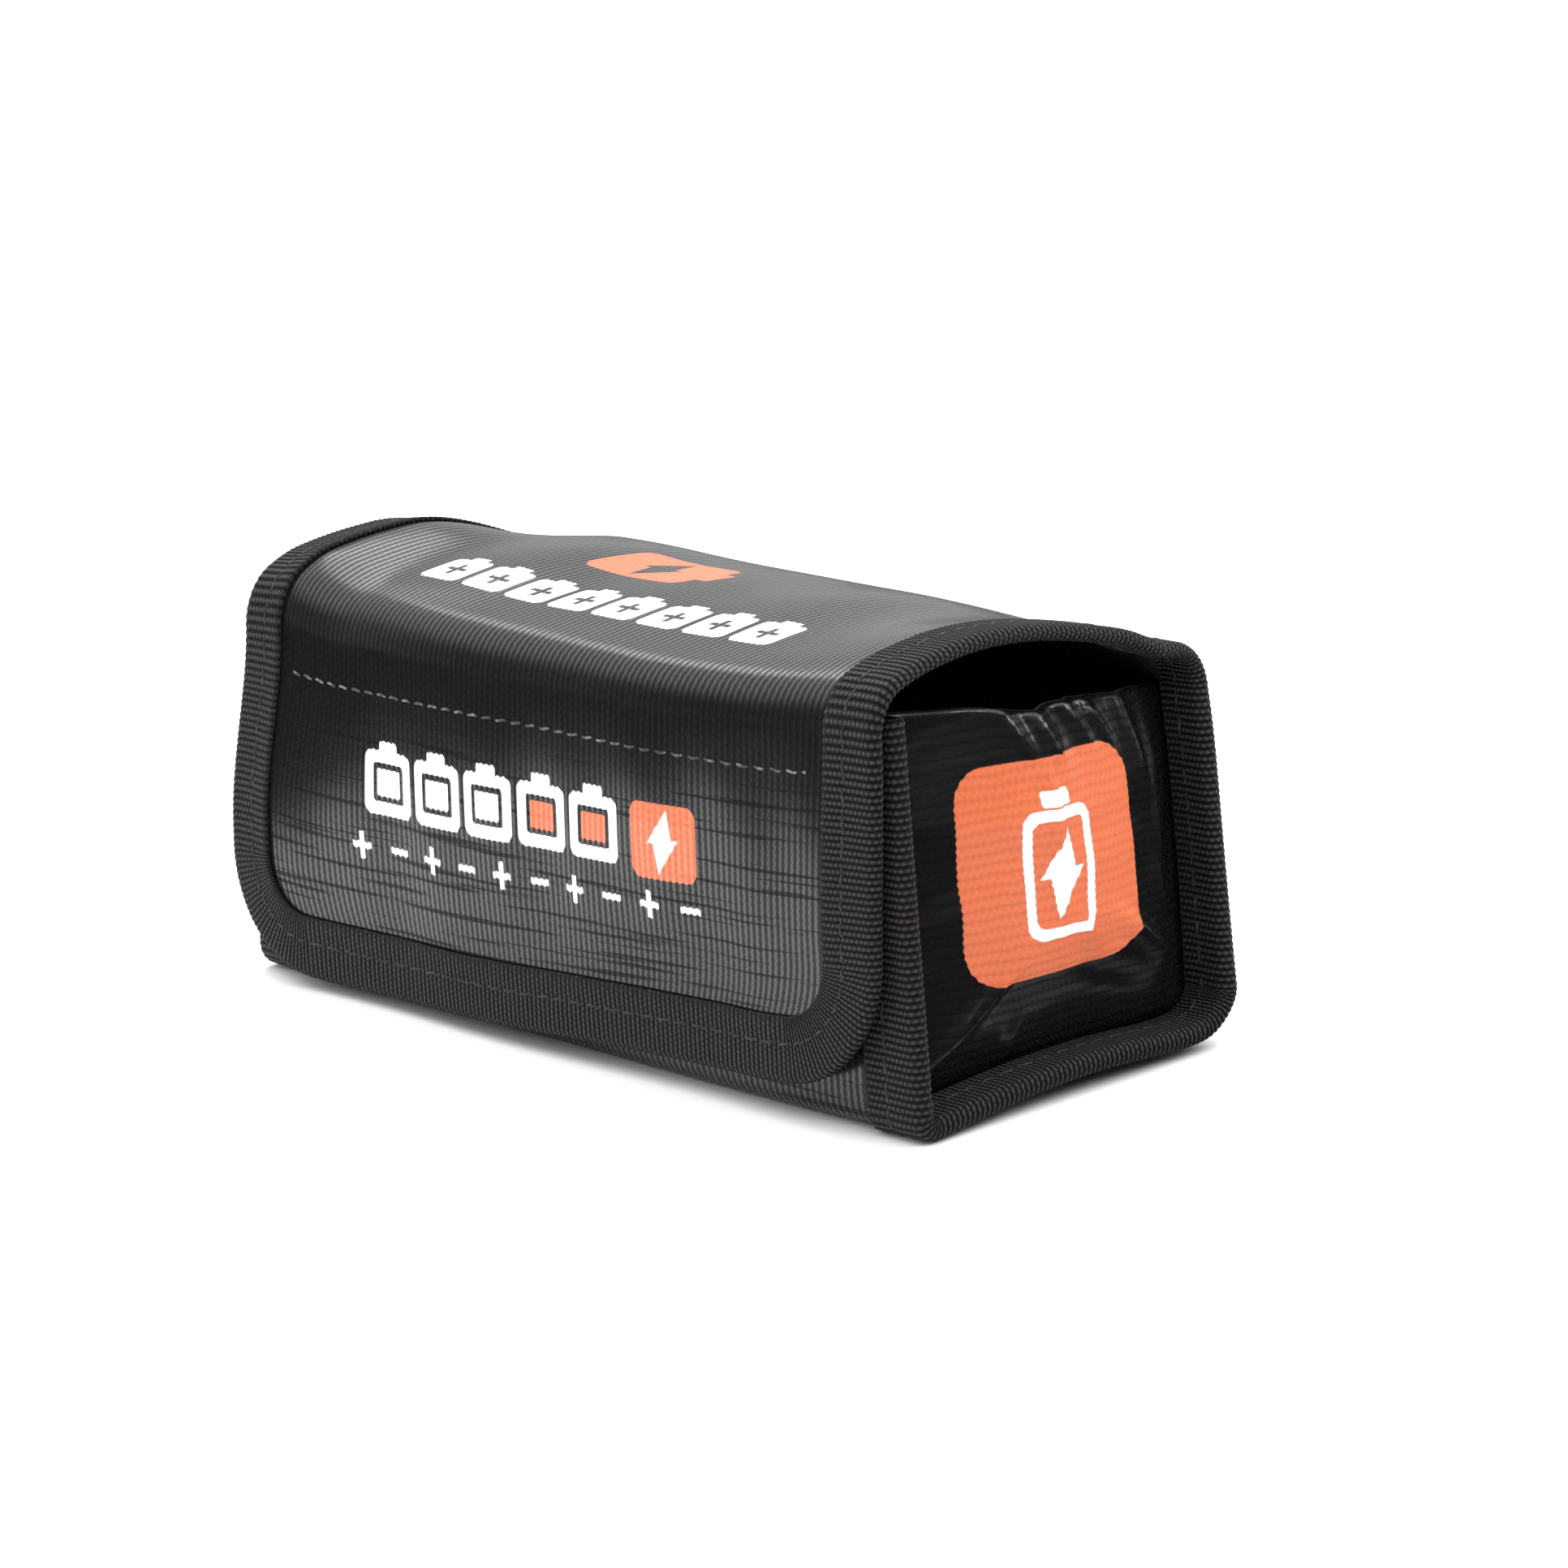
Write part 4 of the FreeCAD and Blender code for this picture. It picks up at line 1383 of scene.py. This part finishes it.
        tent = np.maximum(softer(softer(front, back, 0.5), foot, 0.4), 0.0)
        hold = ease(np.minimum(np.minimum(u, 1.0 - u) * 6.0, v * 6.0), 0.0, 1.0)
        creases = sum(crease.at(y, z) for crease in self.creases())
        waves = 0.16 * np.sin(z / 2.9 + 0.12 * y + 0.8 * np.sin(y / 9.0)) + 0.10 * np.sin(z / 1.7 - y / 13.0)
        return tent + hold * (creases + waves)

    def sheet(self, name: str, inner: float, thickness: float) -> bpy.types.Object:
        """Make one layer of the gusset with its seam allowance.

        Args:
            name: the piece's name.
            inner: how far inside the outer face it starts.
            thickness: its own thickness.

        Returns:
            The piece, not yet dressed.
        """
        bm = lattice(np.linspace(0.0, 1.0, self.columns), np.linspace(0.0, 1.0, self.rows))
        strip = bm.verts.layers.float_vector["strip"]
        sewn = [edge for edge in bm.edges if edge.is_boundary
                and not all(vert[strip][1] > 1.0 - 1e-6 for vert in edge.verts)]
        grown = bmesh.ops.extrude_edge_only(bm, edges=sewn)
        for item in grown["geom"]:
            if isinstance(item, bmesh.types.BMVert):
                item[strip] = (item[strip][0], item[strip][1], 1.0)
        bm.verts.ensure_lookup_table()
        u, v, allowance = strip_rows(bm).T
        flat, beside = self.surface(u, v)
        points = flat.copy()
        points[:, 0] += self.side * (self.height(flat, u, v) - inner)
        outer = self.shell.place(np.full(u.shape, self.side * self.shell.cloth_half()), beside,
                                 np.full(u.shape, self.seam_depth + 0.4)) / MM
        points = np.where(allowance[:, None] > 0.5, outer, points)
        for vert, point in zip(bm.verts, points):
            vert.co = point * MM
            vert[strip] = (point[1], point[2], 0.0)
        bmesh.ops.recalc_face_normals(bm, faces=bm.faces)
        end_middle = Vector((self.side * 0.078, 0.0, 0.03))
        middle = min(bm.faces, key=lambda face: (face.calc_center_median() - end_middle).length)
        if middle.normal.x * self.side < 0.0:
            bmesh.ops.reverse_faces(bm, faces=bm.faces)
        bm.normal_update()
        bmesh.ops.solidify(bm, geom=bm.faces[:], thickness=thickness * MM)
        return as_object(name, bm)

    def build(self) -> None:
        """Make the outer cloth and the lining."""
        side_name = "left" if self.side < 0 else "right"
        dress, finishes = self.maker.dress, self.maker.finishes
        cloth = dress(self.sheet(f"{side_name}_gusset_cloth", 0.0, 0.6), finishes.gusset, "coated_cloth",
                      (f"{side_name}_gusset_outer",))
        lining = dress(self.sheet(f"{side_name}_gusset_lining_cloth", 0.65, 0.35), finishes.lining,
                       "lining_cloth", (f"{side_name}_gusset_lining",))
        for piece in (cloth, lining):
            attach(piece, "bag")


@dataclass
class Studio:
    """A white floor, soft lights and the camera."""

    lens: float = 94.6
    azimuth: float = 45.7
    elevation: float = 13.1
    roll: float = -1.9
    place: tuple[float, float, float] = (0.4934, -0.4646, 0.1961)

    def floor(self) -> None:
        """A wide pale floor."""
        bm = bmesh.new()
        bmesh.ops.create_grid(bm, x_segments=8, y_segments=8, size=6.0)
        floor = as_object("studio_floor", bm)
        recipe = Recipe("studio_floor_paint", 0.9, 0.1)
        floor.data.materials.append(recipe.finish(Palette.FLOOR.value))
        floor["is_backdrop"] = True

    def flag(self, name: str, middle: tuple[float, float], clear: float, black: float) -> None:
        """Lay a black card on the floor that only reflections see, with a soft round window in it.

        Args:
            name: its name.
            middle: the x and y of the window's middle.
            clear: the radius of the clear window, in metres.
            black: the radius where the card is solid.
        """
        bm = bmesh.new()
        bmesh.ops.create_grid(bm, x_segments=2, y_segments=2, size=3.0)
        above_floor = 0.0006
        bmesh.ops.translate(bm, vec=(0.0, 0.0, above_floor), verts=bm.verts)
        card = as_object(name, bm)
        recipe = Recipe(name + "_cloth", 1.0, 0.0)
        parts = recipe.node("ShaderNodeSeparateXYZ", {}, {0: recipe.object_point})
        across, deep = (Wire(recipe.tree, parts.outputs[axis]) - middle[axis] for axis in (0, 1))
        out = (across * across + deep * deep).maths("SQRT")
        clear_shader = recipe.node("ShaderNodeBsdfTransparent")
        layers = {0: out.fade(clear, black), 1: clear_shader.outputs[0], 2: recipe.shader.outputs[0]}
        mixed = recipe.node("ShaderNodeMixShader", {}, layers)
        recipe.tree.links.new(mixed.outputs[0], recipe.tree.nodes["Material Output"].inputs["Surface"])
        card.data.materials.append(recipe.finish((0.0, 0.0, 0.0, 1.0)))
        card.visible_camera = card.visible_diffuse = card.visible_shadow = False
        card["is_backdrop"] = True

    def lamp(self, name: str, place: tuple, aim: tuple, size: float, power: float, seen: bool = True) -> None:
        """Hang one square soft lamp.

        Args:
            name: its name.
            place: where it hangs.
            aim: the point that it faces.
            size: the length of its side.
            power: its power in watts.
            seen: whether it shows in reflections.
        """
        data = bpy.data.lights.new(name, "AREA")
        data.size, data.energy = size, power
        lamp = bpy.data.objects.new(name, data)
        turn = (Vector(aim) - Vector(place)).to_track_quat("-Z", "Y").to_matrix().to_4x4()
        lamp.matrix_world = Matrix.Translation(place) @ turn
        lamp.visible_glossy = seen
        bpy.context.scene.collection.objects.link(lamp)

    def sky(self) -> None:
        """A pale surround that is brighter overhead and behind than in front."""
        world = bpy.data.worlds.new("studio_surround")
        bpy.context.scene.world = world
        world.use_nodes = True
        tree = world.node_tree
        background = tree.nodes["Background"]
        way = add_node(tree, "ShaderNodeTexCoord").outputs["Generated"]
        parts = add_node(tree, "ShaderNodeSeparateXYZ", {}, {0: way})
        side, behind, above = (Wire(tree, output) for output in parts.outputs)
        bright = (behind * 0.7 - side * 0.7).fade(-0.10, 0.85) * 0.85 + 0.02
        bright = bright.most(above.fade(0.28, 0.70) * 1.3)
        seen = Wire(tree, add_node(tree, "ShaderNodeLightPath").outputs["Is Camera Ray"])
        tree.links.new(bright.most(seen).socket, background.inputs["Strength"])
        background.inputs["Color"].default_value = (1.0, 1.0, 1.0, 1.0)

    def camera(self) -> None:
        """The camera, with its roll."""
        a, e, r = (math.radians(value) for value in (self.azimuth, self.elevation, self.roll))
        back = Vector((math.sin(a) * math.cos(e), -math.cos(a) * math.cos(e), math.sin(e)))
        right = Vector((math.cos(a), math.sin(a), 0.0))
        up = back.cross(right)
        right, up = right * math.cos(r) + up * math.sin(r), up * math.cos(r) - right * math.sin(r)
        data = bpy.data.cameras.new("studio_camera")
        data.lens, data.sensor_width = self.lens, 36.0
        data.clip_start, data.clip_end = 0.01, 50.0
        camera = bpy.data.objects.new("studio_camera", data)
        turn = Matrix((right, up, back)).transposed().to_4x4()
        camera.matrix_world = Matrix.Translation(self.place) @ turn
        bpy.context.scene.collection.objects.link(camera)
        bpy.context.scene.camera = camera

    def build(self) -> None:
        """Set everything up."""
        bpy.context.scene.view_settings.view_transform = "Standard"
        self.floor()
        self.sky()
        self.flag("floor_flag", (-0.054, -0.029), 0.113, 0.165)
        self.lamp("ceiling_wash", (0.0, 1.0, 4.0), (0.0, 1.0, 0.0), 9.0, 420.0, seen=False)
        self.lamp("front_fill", (-0.55, -1.20, 0.40), (0.0, -0.04, 0.03), 0.9, 7.0, seen=False)
        self.lamp("end_glint", (0.62, 0.40, 0.42), (0.08, 0.0, 0.04), 0.16, 0.45)
        self.lamp("overhead_softbox", (-0.40, 0.40, 0.8), (0.0, 0.0, 0.03), 0.7, 3.6)
        self.camera()


def main() -> None:
    """Build the bag, then the studio."""
    logging.basicConfig(level=logging.INFO, format="%(name)s %(message)s")
    shell = Shell()
    maker = Maker(Finishes(shell))
    Walls(shell, maker).build()
    Closure(shell, maker).build()
    for side in (-1, 1):
        Gusset(shell, maker, side).build()
    Bindings(shell, maker).build()
    Studio().build()
    log.info("%d pieces", len(maker.made))
    boxes = {"cad": CAD_BOX, "visual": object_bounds()}
    {name: [list(corner) for corner in box] for name, box in boxes.items()}


if __name__ == "__main__":
    main()
